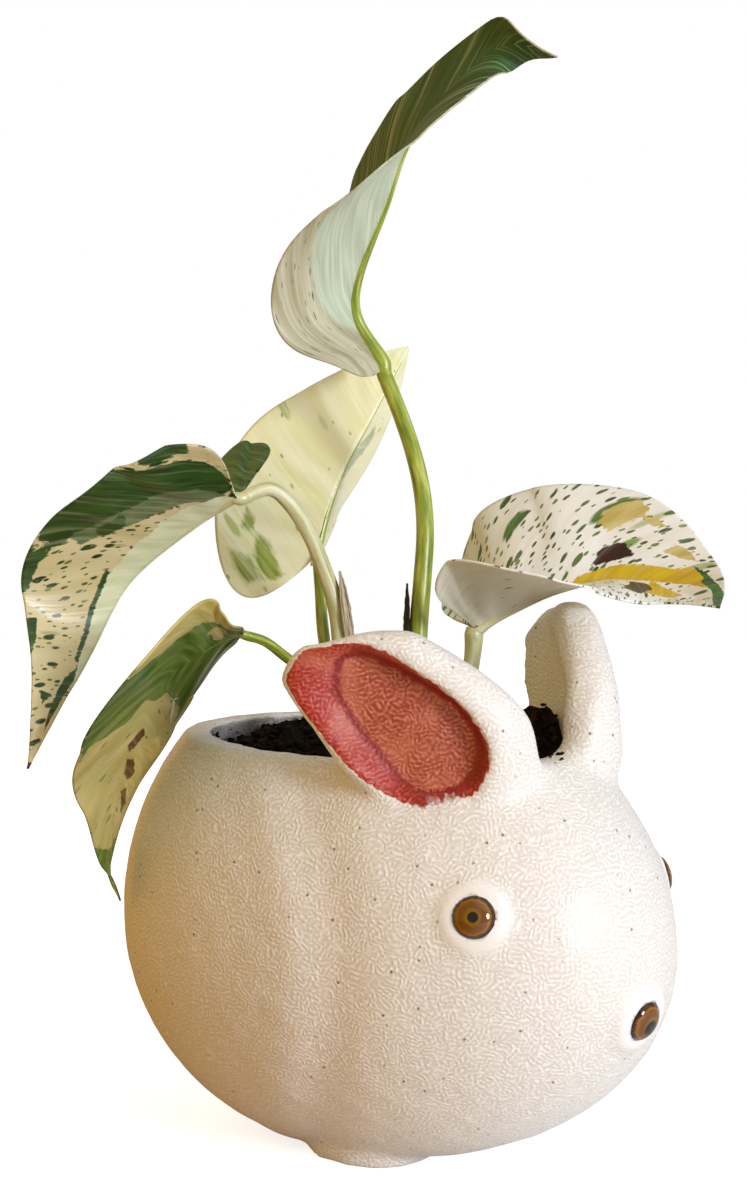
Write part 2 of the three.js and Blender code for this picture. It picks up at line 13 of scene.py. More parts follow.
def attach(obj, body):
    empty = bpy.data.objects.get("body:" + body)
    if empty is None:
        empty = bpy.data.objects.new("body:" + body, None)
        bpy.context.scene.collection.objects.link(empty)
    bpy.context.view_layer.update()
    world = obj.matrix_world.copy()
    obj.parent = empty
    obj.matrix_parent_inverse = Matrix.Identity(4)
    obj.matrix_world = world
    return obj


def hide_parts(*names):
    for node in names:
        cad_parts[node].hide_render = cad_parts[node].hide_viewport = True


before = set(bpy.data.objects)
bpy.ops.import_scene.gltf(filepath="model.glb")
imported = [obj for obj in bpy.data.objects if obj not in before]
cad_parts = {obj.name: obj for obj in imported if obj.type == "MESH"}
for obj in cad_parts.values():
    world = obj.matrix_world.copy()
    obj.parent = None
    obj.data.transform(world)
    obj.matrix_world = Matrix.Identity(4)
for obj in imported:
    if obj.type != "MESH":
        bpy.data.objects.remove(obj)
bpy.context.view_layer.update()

MM = 0.001

# STUDIO
# A white painted board under a lamp in front, with a dim warm sky. The room is bright in front of the pot, and
# dimmer and brown at the rabbit's right side, where a wooden wall stands. A long lens looks slightly down.

camera_data = bpy.data.cameras.new("camera")
camera_data.lens = 72.73
camera_data.sensor_width = 36
camera = bpy.data.objects.new("camera", camera_data)
camera.location = (-0.4208, -0.4079, 0.1872)
camera.rotation_euler = (math.radians(85.055), 0, math.radians(-45.5))
bpy.context.scene.collection.objects.link(camera)
bpy.context.scene.camera = camera


def srgb(code):
    """A hex colour as linear light."""
    parts = [int(code[i:i + 2], 16) / 255 for i in (1, 3, 5)]
    return tuple(c / 12.92 if c <= 0.04045 else ((c + 0.055) / 1.055) ** 2.4 for c in parts) + (1,)


def add(tree, kind, inputs=None, **settings):
    """Adds a node with its settings. An input is a value, a hex colour or a link from another node's output."""
    made = tree.nodes.new("ShaderNode" + kind)
    for name, value in settings.items():
        setattr(made, name, value)
    for name, value in (inputs or {}).items():
        if isinstance(value, bpy.types.NodeSocket):
            tree.links.new(value, made.inputs[name])
        else:
            made.inputs[name].default_value = srgb(value) if isinstance(value, str) else value
    return made


def blend(tree, share, one, other):
    """Two colours mixed, by the share of the second."""
    return add(tree, "Mix", {"Factor": share, 6: one, 7: other}, data_type="RGBA").outputs[2]


def between(tree, value, low, high, most=1):
    """A value turned to 0 at low and to the most at high, and held beyond them."""
    return add(tree, "MapRange", {0: value, 1: low, 2: high, 4: most}).outputs[0]


def material(name, roughness):
    """A new material, with the nodes it is made of."""
    made = bpy.data.materials.new(name)
    made.use_nodes = True
    skin = made.node_tree.nodes["Principled BSDF"]
    skin.inputs["Roughness"].default_value = roughness
    return made, made.node_tree, skin


def lamp(name, place, aim, size, power, colour):
    data = bpy.data.lights.new(name, "AREA")
    data.shape = "DISK"
    data.size = size
    data.energy = power
    data.color = srgb(colour)[:3]
    obj = bpy.data.objects.new(name, data)
    obj.location = place
    obj.rotation_euler = (Vector(aim) - Vector(place)).to_track_quat("-Z", "Y").to_euler()
    bpy.context.scene.collection.objects.link(obj)


BROWN_SIDE = (-0.72, 0.69)
ROOM = ("#a9abaf", "#dcb264")
BOARD_LIT = ("#f8faff", "#ba8e42")
lamp("key_lamp", place=(-0.1, -1.6, 0.5), aim=(0, 0, 0.12), size=0.5, power=17.8, colour="#eff3ff")
sky = bpy.data.lights.new("sky_light", "SUN")
sky.energy = 0.45
sky.color = srgb("#fff3dd")[:3]
sky.angle = math.radians(60)
sky_object = bpy.data.objects.new("sky_light", sky)
sky_object.rotation_euler = Vector((0.1, -0.6, 1)).to_track_quat("Z", "Y").to_euler()
bpy.context.scene.collection.objects.link(sky_object)

world = bpy.data.worlds.new("studio")
bpy.context.scene.world = world
world.use_nodes = True
tree = world.node_tree
tree.nodes.clear()
direction = add(tree, "TexCoord").outputs["Generated"]
beside = add(tree, "VectorMath", {0: direction, 1: (*BROWN_SIDE, -0.1)}, operation="DOT_PRODUCT").outputs["Value"]
glow = blend(tree, between(tree, beside, -0.05, 0.6), *ROOM)
wall = add(tree, "Background", {"Color": glow, "Strength": 1.0})
sweep = add(tree, "Background", {"Color": "#ffffff", "Strength": 1.0})
seen = add(tree, "LightPath").outputs["Is Camera Ray"]
both = add(tree, "MixShader", {0: seen, 1: wall.outputs[0], 2: sweep.outputs[0]})
add(tree, "OutputWorld", {"Surface": both.outputs[0]})
bpy.context.scene.view_settings.view_transform = "Standard"

bpy.ops.object.select_all(action="DESELECT")
bpy.ops.mesh.primitive_circle_add(vertices=128, radius=1.2, fill_type="NGON")
floor = bpy.context.object
floor.name = "floor"
# White painted board, matt, so that it takes no reflections. To the eye it is almost the background's white with
# a soft shadow, and the light it throws on the pot is white on one side and brown on the other.
painted, tree, skin = material("white_painted_board", 0.7)
place = add(tree, "TexCoord").outputs["Object"]
beside = add(tree, "VectorMath", {0: place, 1: (*BROWN_SIDE, 0)}, operation="DOT_PRODUCT").outputs["Value"]
bounced = blend(tree, between(tree, beside, -0.04, 0.09), *BOARD_LIT)
seen = add(tree, "LightPath").outputs["Is Camera Ray"]
tree.links.new(blend(tree, seen, bounced, "#dff0ff"), skin.inputs["Base Color"])
tree.links.new(seen, skin.inputs["Emission Strength"])
skin.inputs["Emission Color"].default_value = srgb("#e2e2e2")
floor.data.materials.append(painted)

# POT
# The rabbit pot is one hollow piece of cast white earthenware, matt glazed and fired. Body and head are one egg
# with ears, paws and collars joined on by hand. It stands on its flat base. The dish of each ear is rubbed with
# red stain.

BODY_HALF_WIDTH = 54
BODY_FRONT = 93
BODY_REAR = 62.5
BODY_MIDDLE = Vector((0, 12.5, 55))
BODY_TOP = 66.5
BODY_BOTTOM = 57.5
WALL = 5
RIM_Z = 101
FLOOR_Z = 9
NECK_GROOVE_DEPTH = 1.1
NECK_RIDGE_HEIGHT = 0.35
NECK_RIDGE_BEHIND = 13
PAW_MIDDLE = Vector((10.5, -3, 1.5))
PAW_HALF_SIZE = Vector((13.5, 16, 13))


def egg(direction, inset):
    """A point of the egg-shaped body, that far inside its skin."""
    along = (BODY_FRONT if direction.y < 0 else BODY_REAR) - inset
    high = (BODY_TOP if direction.z > 0 else BODY_BOTTOM) - inset
    return BODY_MIDDLE + Vector(((BODY_HALF_WIDTH - inset) * direction.x, along * direction.y, high * direction.z))


def bell(distance, width):
    """A soft hump, 1 in its middle and almost 0 at twice its width."""
    return math.exp(-((distance / width) ** 2))


def neck_y(z):
    """Where the crease between head and body runs, at a height."""
    return -29 + 17 * ((z - 55) / 40) ** 2


def body_skin(direction):
    """The egg with the crease of the neck in its sides."""
    point = egg(direction, 0)
    beside = min(1, abs(point.x) / (0.4 * BODY_HALF_WIDTH))
    groove = bell(point.y - neck_y(point.z), 7) * beside
    ridge = bell(point.y - neck_y(point.z) - NECK_RIDGE_BEHIND, 6) * beside
    return point + direction * (NECK_RIDGE_HEIGHT * ridge - NECK_GROOVE_DEPTH * groove)


def ball(name, segments, rings, place):
    """A sphere primitive whose points are set by a rule from their direction."""
    bpy.ops.object.select_all(action="DESELECT")
    bpy.ops.mesh.primitive_uv_sphere_add(segments=segments, ring_count=rings, radius=1)
    made = bpy.context.object
    made.name = name
    for v in made.data.vertices:
        v.co = place(v.co.copy()) * MM
    return made


def outward(made):
    """Welds a mesh and turns its faces outwards."""
    bpy.ops.object.select_all(action="DESELECT")
    made.select_set(True)
    bpy.context.view_layer.objects.active = made
    bpy.ops.object.mode_set(mode="EDIT")
    bpy.ops.mesh.select_all(action="SELECT")
    bpy.ops.mesh.remove_doubles(threshold=1e-6)
    bpy.ops.mesh.normals_make_consistent(inside=False)
    bpy.ops.object.mode_set(mode="OBJECT")


def finish(made, kind, **settings):
    """Adds a modifier with its settings and applies it."""
    modifier = made.modifiers.new(kind.lower(), kind)
    for name, value in settings.items():
        setattr(modifier, name, value)
    bpy.context.view_layer.objects.active = made
    bpy.ops.object.modifier_apply(modifier=modifier.name)


def cut(made, tool, how="DIFFERENCE"):
    """Cuts one solid with another, or joins them, and takes the tool away."""
    finish(made, "BOOLEAN", object=tool, operation=how, solver="EXACT")
    bpy.data.objects.remove(tool)


# Stations of the right ear, from its root at the front of the rim to its tip: the middle, then its half
# height above and below the middle, and its lean
EAR_LINE = [((-9, -52, 100), (4, 8, 0)), ((-17, -50, 104.5), (12, 13, 0)), ((-25.5, -41.5, 109.5), (16.5, 19, 0)),
            ((-33.5, -31, 113), (20, 17.5, 0.04)), ((-41, -21.5, 118), (15, 9.5, 0.08)),
            ((-45.5, -14.5, 122.5), (7, 4.5, 0.08))]
EAR_HALF_THICKNESS = 8
EAR_LIFT = 3
EAR_LENGTH = 58
EAR_HALF_HEIGHT = 17
EAR_END = 3
DISH_DEPTH = 7.5
BACK_HOLLOW_DEPTH = 5.2
# The left ear leans out by this angle, and is that much thicker behind, more so at its lower edge
LEFT_EAR_LEAN = 0.125
LEFT_EAR_BACK = 3.8
LEFT_EAR_LOWER_BACK = 5.5
# The edge of the stain and that of the flat floor of the dish, by the share from the ear's root to its tip and
# from its upper edge, -1, to its lower one, 1
STAIN_EDGE = [(1.03, -0.3), (1.02, -0.95), (0.86, -0.92), (0.74, -0.84), (0.63, -0.7), (0.47, -0.6), (0.36, -0.46),
              (0.28, -0.22), (0.24, 0.02), (0.23, 0.3), (0.23, 0.74), (0.32, 0.92), (0.44, 0.92), (0.52, 0.9),
              (0.65, 0.82), (0.79, 0.86), (0.9, 0.8), (1.02, 0.6)]
DISH_FLOOR = [(0.84, -0.55), (0.79, -0.06), (0.72, 0.2), (0.6, 0.46), (0.52, 0.68), (0.45, 0.82), (0.37, 0.88),
              (0.29, 0.84), (0.25, 0.68), (0.245, 0.3), (0.26, 0.02), (0.31, -0.26), (0.39, -0.45), (0.5, -0.52),
              (0.65, -0.6), (0.78, -0.7)]


def smooth_line(values, t):
    """A point of a smooth curve through evenly spaced values."""
    last = len(values) - 1
    s = min(max(t, 0), 1 - 1e-9) * last
    i = int(s)
    f = s - i
    p, q = values[i], values[i + 1]
    before = values[i - 1] if i > 0 else 2 * p - q
    after = values[i + 2] if i + 2 <= last else 2 * q - p
    return 0.5 * (2 * p + (q - before) * f + (2 * before - 5 * p + 4 * q - after) * f * f
                  + (3 * p - before - 3 * q + after) * f ** 3)


def ramp(low, high, value):
    """0 up to low, 1 from high, and a smooth rise between."""
    t = min(max((value - low) / (high - low), 0), 1)
    return t * t * (3 - 2 * t)


def inside_by(x, y, outline):
    """How far a spot is inside a closed outline, below 0 outside it."""
    inside = False
    nearest = 1e9
    for (x1, y1), (x2, y2) in zip(outline, outline[1:] + outline[:1]):
        if (y1 > y) != (y2 > y) and x < x1 + (x2 - x1) * (y - y1) / (y2 - y1):
            inside = not inside
        dx, dy = x2 - x1, y2 - y1
        f = min(1, max(0, ((x - x1) * dx + (y - y1) * dy) / max(1e-9, dx * dx + dy * dy)))
        nearest = min(nearest, math.hypot(x - x1 - f * dx, y - y1 - f * dy))
    return nearest if inside else -nearest


def to_size(outline, length, half_width):
    """An outline given in shares, in mm."""
    return [(share * length, across * half_width) for share, across in outline]


def ear_point(side, t, angle):
    """A point of the ear's skin, and how far it is inside the stain and inside the floor of the dish."""
    middles = [Vector(at) for at, _ in EAR_LINE]
    sizes = [Vector(size) for _, size in EAR_LINE]
    centre = smooth_line(middles, t)
    centre.z += EAR_LIFT * t if side > 0 else 0
    along = (smooth_line(middles, min(1, t + 0.01)) - smooth_line(middles, max(0, t - 0.01))).normalized()
    size = smooth_line(sizes, t)
    size.z -= LEFT_EAR_LEAN if side > 0 else 0
    down = (Vector((0, 0, -1)) + along * along.z).normalized()
    out = along.cross(down).normalized()
    downward = down * math.cos(size.z) - out * math.sin(size.z)
    outer = out * math.cos(size.z) + down * math.sin(size.z)
    taper = math.sin(math.pi * (0.16 + 0.7 * t)) ** 0.6
    w, n = math.cos(angle), math.sin(angle)
    in_stain, in_floor = -5, -9
    if n > 0:
        place = t * EAR_LENGTH, w * EAR_HALF_HEIGHT
        in_stain = inside_by(*place, to_size(STAIN_EDGE, EAR_LENGTH, EAR_HALF_HEIGHT))
        in_floor = inside_by(*place, to_size(DISH_FLOOR, EAR_LENGTH, EAR_HALF_HEIGHT))
        deep = DISH_DEPTH * max(0, in_stain) / max(1e-6, max(0, in_stain) + max(0, -in_floor))
    else:
        ends = math.sin(math.pi * min(1, t * 1.02)) ** 0.4 if t > 0 else 0
        deep = -BACK_HOLLOW_DEPTH * max(0, 1 - (w / 0.74) ** 2) ** 0.6 * ends
    thick = EAR_HALF_THICKNESS
    if side > 0 > n:
        thick += (LEFT_EAR_BACK + LEFT_EAR_LOWER_BACK * w) * ramp(0.1, 0.4, t)
    proud = thick * taper * math.copysign(abs(n) ** 0.6, n) - deep * taper
    point = centre + downward * (w * (size.x if w < 0 else size.y)) + outer * proud
    point.x *= -side
    return point, in_stain, in_floor


def ear(side):
    """One ear with a rounded root and tip, and the two depths at each of its points."""
    depths = []

    def place(direction):
        from_root = math.acos(max(-1, min(1, -direction.z))) / math.pi
        t = min(max((from_root - 0.06) / 0.88, 0), 1)
        beyond = max(0, 0.06 - from_root, from_root - 0.94) / 0.06
        angle = math.atan2(direction.y, direction.x)
        point, in_stain, in_floor = ear_point(side, t, angle)
        middle = 0.5 * (ear_point(side, t, 0)[0] + ear_point(side, t, math.pi)[0])
        line = 0.5 * (ear_point(side, 1, 0)[0] + ear_point(side, 1, math.pi)[0]
                      - ear_point(side, 0.96, 0)[0] - ear_point(side, 0.96, math.pi)[0])
        if t == 0:
            line = 0.5 * (ear_point(side, 0, 0)[0] + ear_point(side, 0, math.pi)[0]
                          - ear_point(side, 0.04, 0)[0] - ear_point(side, 0.04, math.pi)[0])
        depths.append((in_stain - 4 * beyond, in_floor - 4 * beyond))
        return middle.lerp(point, math.sqrt(max(0, 1 - beyond ** 2))) + line.normalized() * EAR_END * beyond

    return ball("ear", 80, 80, place), depths


def seat_on_face(x, z):
    """Where an eye or the nose sits on the head, and the way it looks."""
    high = BODY_TOP if z > BODY_MIDDLE.z else BODY_BOTTOM
    upward, sideward = (z - BODY_MIDDLE.z) / high, x / BODY_HALF_WIDTH
    forward = math.sqrt(1 - upward ** 2 - sideward ** 2)
    looks = Vector((sideward / BODY_HALF_WIDTH, -forward / BODY_FRONT, upward / high)).normalized()
    return Vector((x, BODY_MIDDLE.y - BODY_FRONT * forward, z)), looks


SEATS = {"eye_right": seat_on_face(-33, 70.3), "eye_left": seat_on_face(33, 70.3), "nose_bead": seat_on_face(0, 45)}
COLLAR_RADIUS = 8
COLLAR_HEIGHT = 1.15
COLLAR_ROOT = 5
BEAD_RADIUS = 4.7
SEAT_CLEARANCE = 0.05
SEAT_DEPTH = 3.5
DRILL_LENGTH = 16


def turned(looks):
    """The turn that takes +Z to the way a bead looks."""
    return Vector((0, 0, 1)).rotation_difference(looks)


def collar(at, looks):
    """The soft raised ring of clay that holds a bead."""
    def place(direction):
        high = COLLAR_HEIGHT if direction.z > 0 else COLLAR_ROOT
        spread = math.hypot(direction.x, direction.y)
        lift = high * (1 - 0.15 * spread ** 6) * math.copysign(abs(direction.z) ** 0.7, direction.z)
        return at + turned(looks) @ Vector((COLLAR_RADIUS * direction.x, COLLAR_RADIUS * direction.y, lift))
    return ball("collar", 40, 20, place)


pot = ball("rabbit_pot", 160, 96, body_skin)
bpy.ops.mesh.primitive_cube_add(size=1, location=(0, 0, (RIM_Z + 100) * MM), scale=(0.4, 0.4, 0.2))
cut(pot, bpy.context.object)
ear_shapes = []
for side in (-1, 1):
    shape, depths = ear(side)
    shape.data.update()
    corners = [[(v, shape.data.vertices[v].co.copy()) for v in p.vertices] for p in shape.data.polygons]
    ear_shapes.append((BVHTree.FromObject(shape, bpy.context.evaluated_depsgraph_get()), corners, depths))
    outward(shape)
    cut(pot, shape, "UNION")

    def paw(direction):
        return Vector((side * PAW_MIDDLE.x, PAW_MIDDLE.y, PAW_MIDDLE.z)) + direction * PAW_HALF_SIZE

    cut(pot, ball("paw", 32, 20, paw), "UNION")
for at, looks in SEATS.values():
    cut(pot, collar(at, looks), "UNION")
hollow = ball("hollow", 96, 64, lambda d: egg(d, WALL))
bpy.ops.mesh.primitive_cube_add(size=1, location=(0, 0, (FLOOR_Z - 100) * MM), scale=(0.4, 0.4, 0.2))
cut(hollow, bpy.context.object)
cut(pot, hollow)
bpy.ops.mesh.primitive_cube_add(size=1, location=(0, 0, -0.1), scale=(0.4, 0.4, 0.2))
cut(pot, bpy.context.object)
# The joined clay gets one even skin, with faces of 1.2 mm
finish(pot, "REMESH", mode="VOXEL", voxel_size=1.2 * MM)

# Where an ear meets the head the clay was smoothed by hand
joints = pot.vertex_groups.new(name="joints")
for v in pot.data.vertices:
    p = v.co / MM - BODY_MIDDLE
    along = BODY_FRONT if p.y < 0 else BODY_REAR
    radius = math.sqrt((p.x / BODY_HALF_WIDTH) ** 2 + (p.y / along) ** 2 + (p.z / BODY_TOP) ** 2)
    off_skin = abs(radius - 1) * 60
    weight = 1 - ramp(1.5, 8, off_skin)
    if v.co.z > 0.088 and p.y < 0 and weight > 0:
        joints.add([v.index], weight * ramp(88, 94, v.co.z / MM), "REPLACE")
    if v.co.z < 0.02 and off_skin < 8:
        joints.add([v.index], (1 - ramp(3, 8, off_skin)) * ramp(0, 3, v.co.z / MM), "REPLACE")
finish(pot, "SMOOTH", factor=0.6, iterations=24, vertex_group="joints")
finish(pot, "SMOOTH", factor=0.5, iterations=5)
# Lumps 7 mm wide and half a mm high, left by the hand
lumps = bpy.data.textures.new("hand_worked_lumps", "CLOUDS")
lumps.noise_scale = 7 * MM
finish(pot, "DISPLACE", texture=lumps, texture_coords="LOCAL", strength=0.45 * MM, mid_level=0.5)
for v in pot.data.vertices:
    v.co.z = max(v.co.z, 0)

# Each point of the pot knows how far it is inside the stain and the dish's floor, and whether a thumb has
# smoothed it, as round the collars
for layer in ("stain", "dish", "polish"):
    pot.data.attributes.new(layer, "FLOAT", "POINT")
for v in pot.data.vertices:
    in_stain, in_floor = -5, -9
    for tree_of_ear, faces, depths in ear_shapes:
        spot, _, face, distance = tree_of_ear.find_nearest(v.co, 3.2 * MM)
        if face is not None:
            weights = [(1 / (1e-5 + (corner - spot).length ** 2), depths[i]) for i, corner in faces[face]]
            total = sum(weight for weight, _ in weights)
            in_stain = max(in_stain, sum(weight * pair[0] for weight, pair in weights) / total)
            in_floor = max(in_floor, sum(weight * pair[1] for weight, pair in weights) / total)
    pot.data.attributes["stain"].data[v.index].value = in_stain
    pot.data.attributes["dish"].data[v.index].value = in_floor
    smoothed = 0
    for at, looks in SEATS.values():
        away = v.co / MM - at
        if abs(away.dot(looks)) < 8:
            smoothed = max(smoothed, 1 - ramp(COLLAR_RADIUS - 1.5, COLLAR_RADIUS + 1.5, away.cross(looks).length))
    pot.data.attributes["polish"].data[v.index].value = smoothed
for at, looks in SEATS.values():
    bpy.ops.mesh.primitive_cylinder_add(vertices=64, radius=(BEAD_RADIUS + SEAT_CLEARANCE) * MM,
                                        depth=DRILL_LENGTH * MM)
    drill = bpy.context.object
    for v in drill.data.vertices:
        v.co = at * MM + turned(looks) @ (v.co + Vector((0, 0, (DRILL_LENGTH / 2 - SEAT_DEPTH) * MM)))
    cut(pot, drill)
for face in pot.data.polygons:
    face.use_smooth = True


def cells(size):
    """The scale of a pattern whose cells are that many mm wide."""
    return 1 / (size * MM)


def sums(tree, how, *values):
    """One step of arithmetic."""
    return add(tree, "Math", dict(enumerate(values)), operation=how).outputs[0]


def raise_skin(tree, height, strength, deep):
    """Makes the light fall as if a pattern stood out of the skin, by that many mm."""
    relief = add(tree, "Bump", {"Height": height, "Strength": strength, "Distance": deep * MM})
    tree.links.new(relief.outputs[0], tree.nodes["Principled BSDF"].inputs["Normal"])


# Matt white glaze: a broad, dull shine over short raised worms 2.4 mm apart, and brown pinholes under half a mm.
# The worms are painted whiter and the furrows between them darker: painted highlight and shade over the bump.
# The ear's stain is deep red on the dish's sides and rosy on its floor, with painted shade in the crease between.
glaze, tree, skin = material("matt_white_glaze", 0.48)
place = add(tree, "TexCoord").outputs["Object"]
wander = add(tree, "TexNoise", {"Vector": place, "Scale": cells(6.25), "Detail": 1})
bent = add(tree, "VectorMath", {0: wander.outputs["Color"], 1: (0.5, 0.5, 0.5)}, operation="SUBTRACT").outputs[0]
bent = add(tree, "VectorMath", {0: bent, "Scale": 2.2 * MM}, operation="SCALE").outputs[0]
bent = add(tree, "VectorMath", {0: place, 1: bent}, operation="ADD").outputs[0]
worms = add(tree, "TexGabor", {"Vector": bent, "Scale": cells(2.38), "Frequency": 2.3, "Anisotropy": 0},
            gabor_type="3D").outputs["Value"]
polish = add(tree, "Attribute", attribute_name="polish").outputs["Fac"]
rough = sums(tree, "SUBTRACT", 1, polish)
worm = sums(tree, "MULTIPLY", between(tree, worms, 0.42, 0.72), rough)
worm = sums(tree, "MULTIPLY_ADD", polish, 0.8, worm)
pits = add(tree, "TexVoronoi", {"Vector": place, "Scale": cells(3.33), "Randomness": 1})
near_pit = between(tree, pits.outputs["Distance"], 0.14, 0.07, 0.8)
rare = sums(tree, "GREATER_THAN", add(tree, "SeparateColor", {0: pits.outputs["Color"]}).outputs[0], 0.6)
pit = sums(tree, "MULTIPLY", sums(tree, "MULTIPLY", near_pit, rare), rough)
# Painted highlight and shade: the raised worms lighter, the furrows between them darker
glaze_with_painted_relief = blend(tree, worm, "#e3ddd2", "#fcfaf6")
in_stain = add(tree, "Attribute", attribute_name="stain").outputs["Fac"]
in_floor = add(tree, "Attribute", attribute_name="dish").outputs["Fac"]
edge = add(tree, "TexNoise", {"Vector": place, "Scale": cells(3.85), "Detail": 3}).outputs["Fac"]
uneven = add(tree, "TexNoise", {"Vector": place, "Scale": cells(11.1), "Detail": 2}).outputs["Fac"]
# The stain gets the same painted highlight on its worms and painted shade in its furrows
side_red = blend(tree, worm, "#a01d14", "#d0604c")
floor_rose = blend(tree, worm, "#9e3e28", "#d48262")
rubbed = blend(tree, between(tree, in_floor, -0.8, 0.6), side_red, floor_rose)
rubbed = blend(tree, between(tree, uneven, 0.5, 0.8), rubbed, "#cf7a5c")
# Painted shade: the stain darkened to deep red in the crease where the dish's sides meet its floor
painted_crease_shade = between(tree, sums(tree, "ABSOLUTE", in_floor), 1.5, 0.2, 1.9)
rubbed = blend(tree, sums(tree, "MULTIPLY", painted_crease_shade, uneven), rubbed, "#8e1d18")
level = sums(tree, "MULTIPLY_ADD", edge, 0.7, in_stain)
colour = blend(tree, between(tree, level, 0.2, 0.5), glaze_with_painted_relief, rubbed)
colour = blend(tree, pit, colour, "#5d4029")
tree.links.new(colour, skin.inputs["Base Color"])
skin.inputs["Coat Weight"].default_value = 0.15
skin.inputs["Coat Roughness"].default_value = 0.3
raise_skin(tree, sums(tree, "MULTIPLY_ADD", pit, -0.8, worm), 0.5, 0.25)
pot.data.materials.clear()
pot.data.materials.append(glaze)
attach(pot, "root")
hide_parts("pot")

# GLASS EYES AND NOSE
# Two amber glass eyes and a third bead as the nose, each a flat-backed dome with a black pupil inside,
# pressed into its seat in the clay. Clear glass over a painted back: glossy, dark at the rim.

BEAD_DOME = 2.4
BEAD_EDGE = 0.6
# The radius of each pupil, and how far it is to the right of the bead's middle and above it
PUPILS = {"eye_right": (1.25, 0, 0), "eye_left": (1.25, 0, 0), "nose_bead": (1.9, 0.1, -0.7)}


def tones(tree, value, *stops):
    """Colours that follow a value, each stop a place from 0 to 1 and a hex colour."""
    made = add(tree, "ValToRGB", {"Fac": value})
    ends = made.color_ramp.elements
    for end, (position, colour) in zip((ends[0], ends[1]), (stops[0], stops[-1])):
        end.position = position
        end.color = srgb(colour)
    for position, colour in stops[1:-1]:
        made.color_ramp.elements.new(position).color = srgb(colour)
    return made.outputs[0]


# Amber glass over a painted back: a hard clear shine with a sharp highlight, streaky brown and gold within,
# and almost black at the rim, round a black pupil. Its gold ring near the rim is painted light: the glow that
# light coming through the dome throws on the iris.
amber, tree, skin = material("amber_glass", 0.5)
face = add(tree, "UVMap", uv_map="face").outputs[0]
spread = add(tree, "VectorMath", {0: face}, operation="LENGTH").outputs["Value"]
pupil_at = add(tree, "Attribute", attribute_name="pupil")
off_pupil = add(tree, "VectorMath", {0: face, 1: pupil_at.outputs["Vector"]}, operation="DISTANCE").outputs["Value"]
pupil_size = add(tree, "Attribute", attribute_name="pupil_size").outputs["Fac"]
streaks = add(tree, "TexNoise", {"Vector": face, "Scale": 1 / 1.43, "Detail": 2}).outputs["Fac"]
ring = sums(tree, "MULTIPLY_ADD", streaks, 0.9, spread)
# The gold stop at 0.82 is painted light: the glow of light through the glass dome on the iris
iris = tones(tree, between(tree, ring, 0.4, 5.2), (0, "#5a3a08"), (0.3, "#8a5f12"), (0.5, "#6e3f06"),
             (0.72, "#74460a"), (0.82, "#96640f"), (0.9, "#4a1e04"), (0.97, "#180502"))
dark = between(tree, sums(tree, "DIVIDE", off_pupil, pupil_size), 1.15, 0.85)
tree.links.new(blend(tree, dark, iris, "#050201"), skin.inputs["Base Color"])
skin.inputs["Specular IOR Level"].default_value = 0.0
skin.inputs["Coat Weight"].default_value = 1.0
skin.inputs["Coat Roughness"].default_value = 0.02
skin.inputs["Coat IOR"].default_value = 1.6

for name, (at, looks) in SEATS.items():
    def bead_point(direction):
        spread = math.hypot(direction.x, direction.y)
        high = BEAD_EDGE + BEAD_DOME * direction.z if direction.z >= 0 else max(direction.z * 20, -1) * SEAT_DEPTH
        round_off = 1 if direction.z > 0 or spread > 0.98 else min(1, spread / max(1e-6, -direction.z) * 4)
        flat = Vector((direction.x, direction.y, 0)) / max(spread, 1e-9) * (spread if direction.z >= 0 else round_off)
        return flat * BEAD_RADIUS + Vector((0, 0, high))

    bead = ball(f"{name}_glass", 64, 48, bead_point)
    outward(bead)
    bead.data.uv_layers.new(name="face")
    bead.data.attributes.new("pupil", "FLOAT_VECTOR", "POINT")
    bead.data.attributes.new("pupil_size", "FLOAT", "POINT")
    for loop in bead.data.loops:
        co = bead.data.vertices[loop.vertex_index].co / MM
        bead.data.uv_layers["face"].data[loop.index].uv = (co.x, co.y)
    size, right, up = PUPILS[name]
    for v in bead.data.vertices:
        bead.data.attributes["pupil"].data[v.index].vector = (right, up, 0)
        bead.data.attributes["pupil_size"].data[v.index].value = size
    # The face's own x runs level, so the pupil's place is true
    level = looks.cross(Vector((0, 0, 1))).normalized() * -1
    upright = looks.cross(level).normalized()
    for v in bead.data.vertices:
        co = v.co.copy()
        v.co = at * MM + level * co.x + upright * co.y + looks * co.z
    outward(bead)
    bead.data.materials.clear()
    bead.data.materials.append(amber)
    for face_of in bead.data.polygons:
        face_of.use_smooth = True
    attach(bead, "root")
    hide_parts(name)

# SOIL
# Damp black potting soil with bits of red bark, poured in loose and pressed round the vines. Its top is crumbly,
# heaped in front and sunk at the photo's left, and some crumbs stick to the wall and the rim.

SOIL_EDGE_Z = 96.8
SOIL_RISE = 1.6
# The middle, the height and the width of each heap
HEAPS = [((17, -33), 13, 10), ((-8, 30), 2.5, 16)]
SUNK_DEPTH = 5
LOOSE_CRUMBS = 620
WALL_CRUMBS = 90
SUNK_SIDE_CRUMBS = 70
RIM_CRUMBS = 22

# Damp peat soil: nearly black and without any shine, so that it shows only as small reddish bits, 1.4 mm wide
earth, tree, skin = material("damp_potting_soil", 0.95)
place = add(tree, "TexCoord").outputs["Object"]
bits = add(tree, "TexVoronoi", {"Vector": place, "Scale": cells(1.43)}).outputs["Color"]
bit = add(tree, "SeparateColor", {0: bits}).outputs[0]
tone = tones(tree, bit, (0, "#0a0806"), (0.55, "#15100b"), (0.8, "#1d130c"), (0.93, "#3a1d10"), (1, "#2a150d"))
tree.links.new(tone, skin.inputs["Base Color"])
skin.inputs["Specular IOR Level"].default_value = 0.12
clods = add(tree, "TexNoise", {"Vector": place, "Scale": cells(1.11), "Detail": 4}).outputs["Fac"]
raise_skin(tree, clods, 0.7, 0.8)


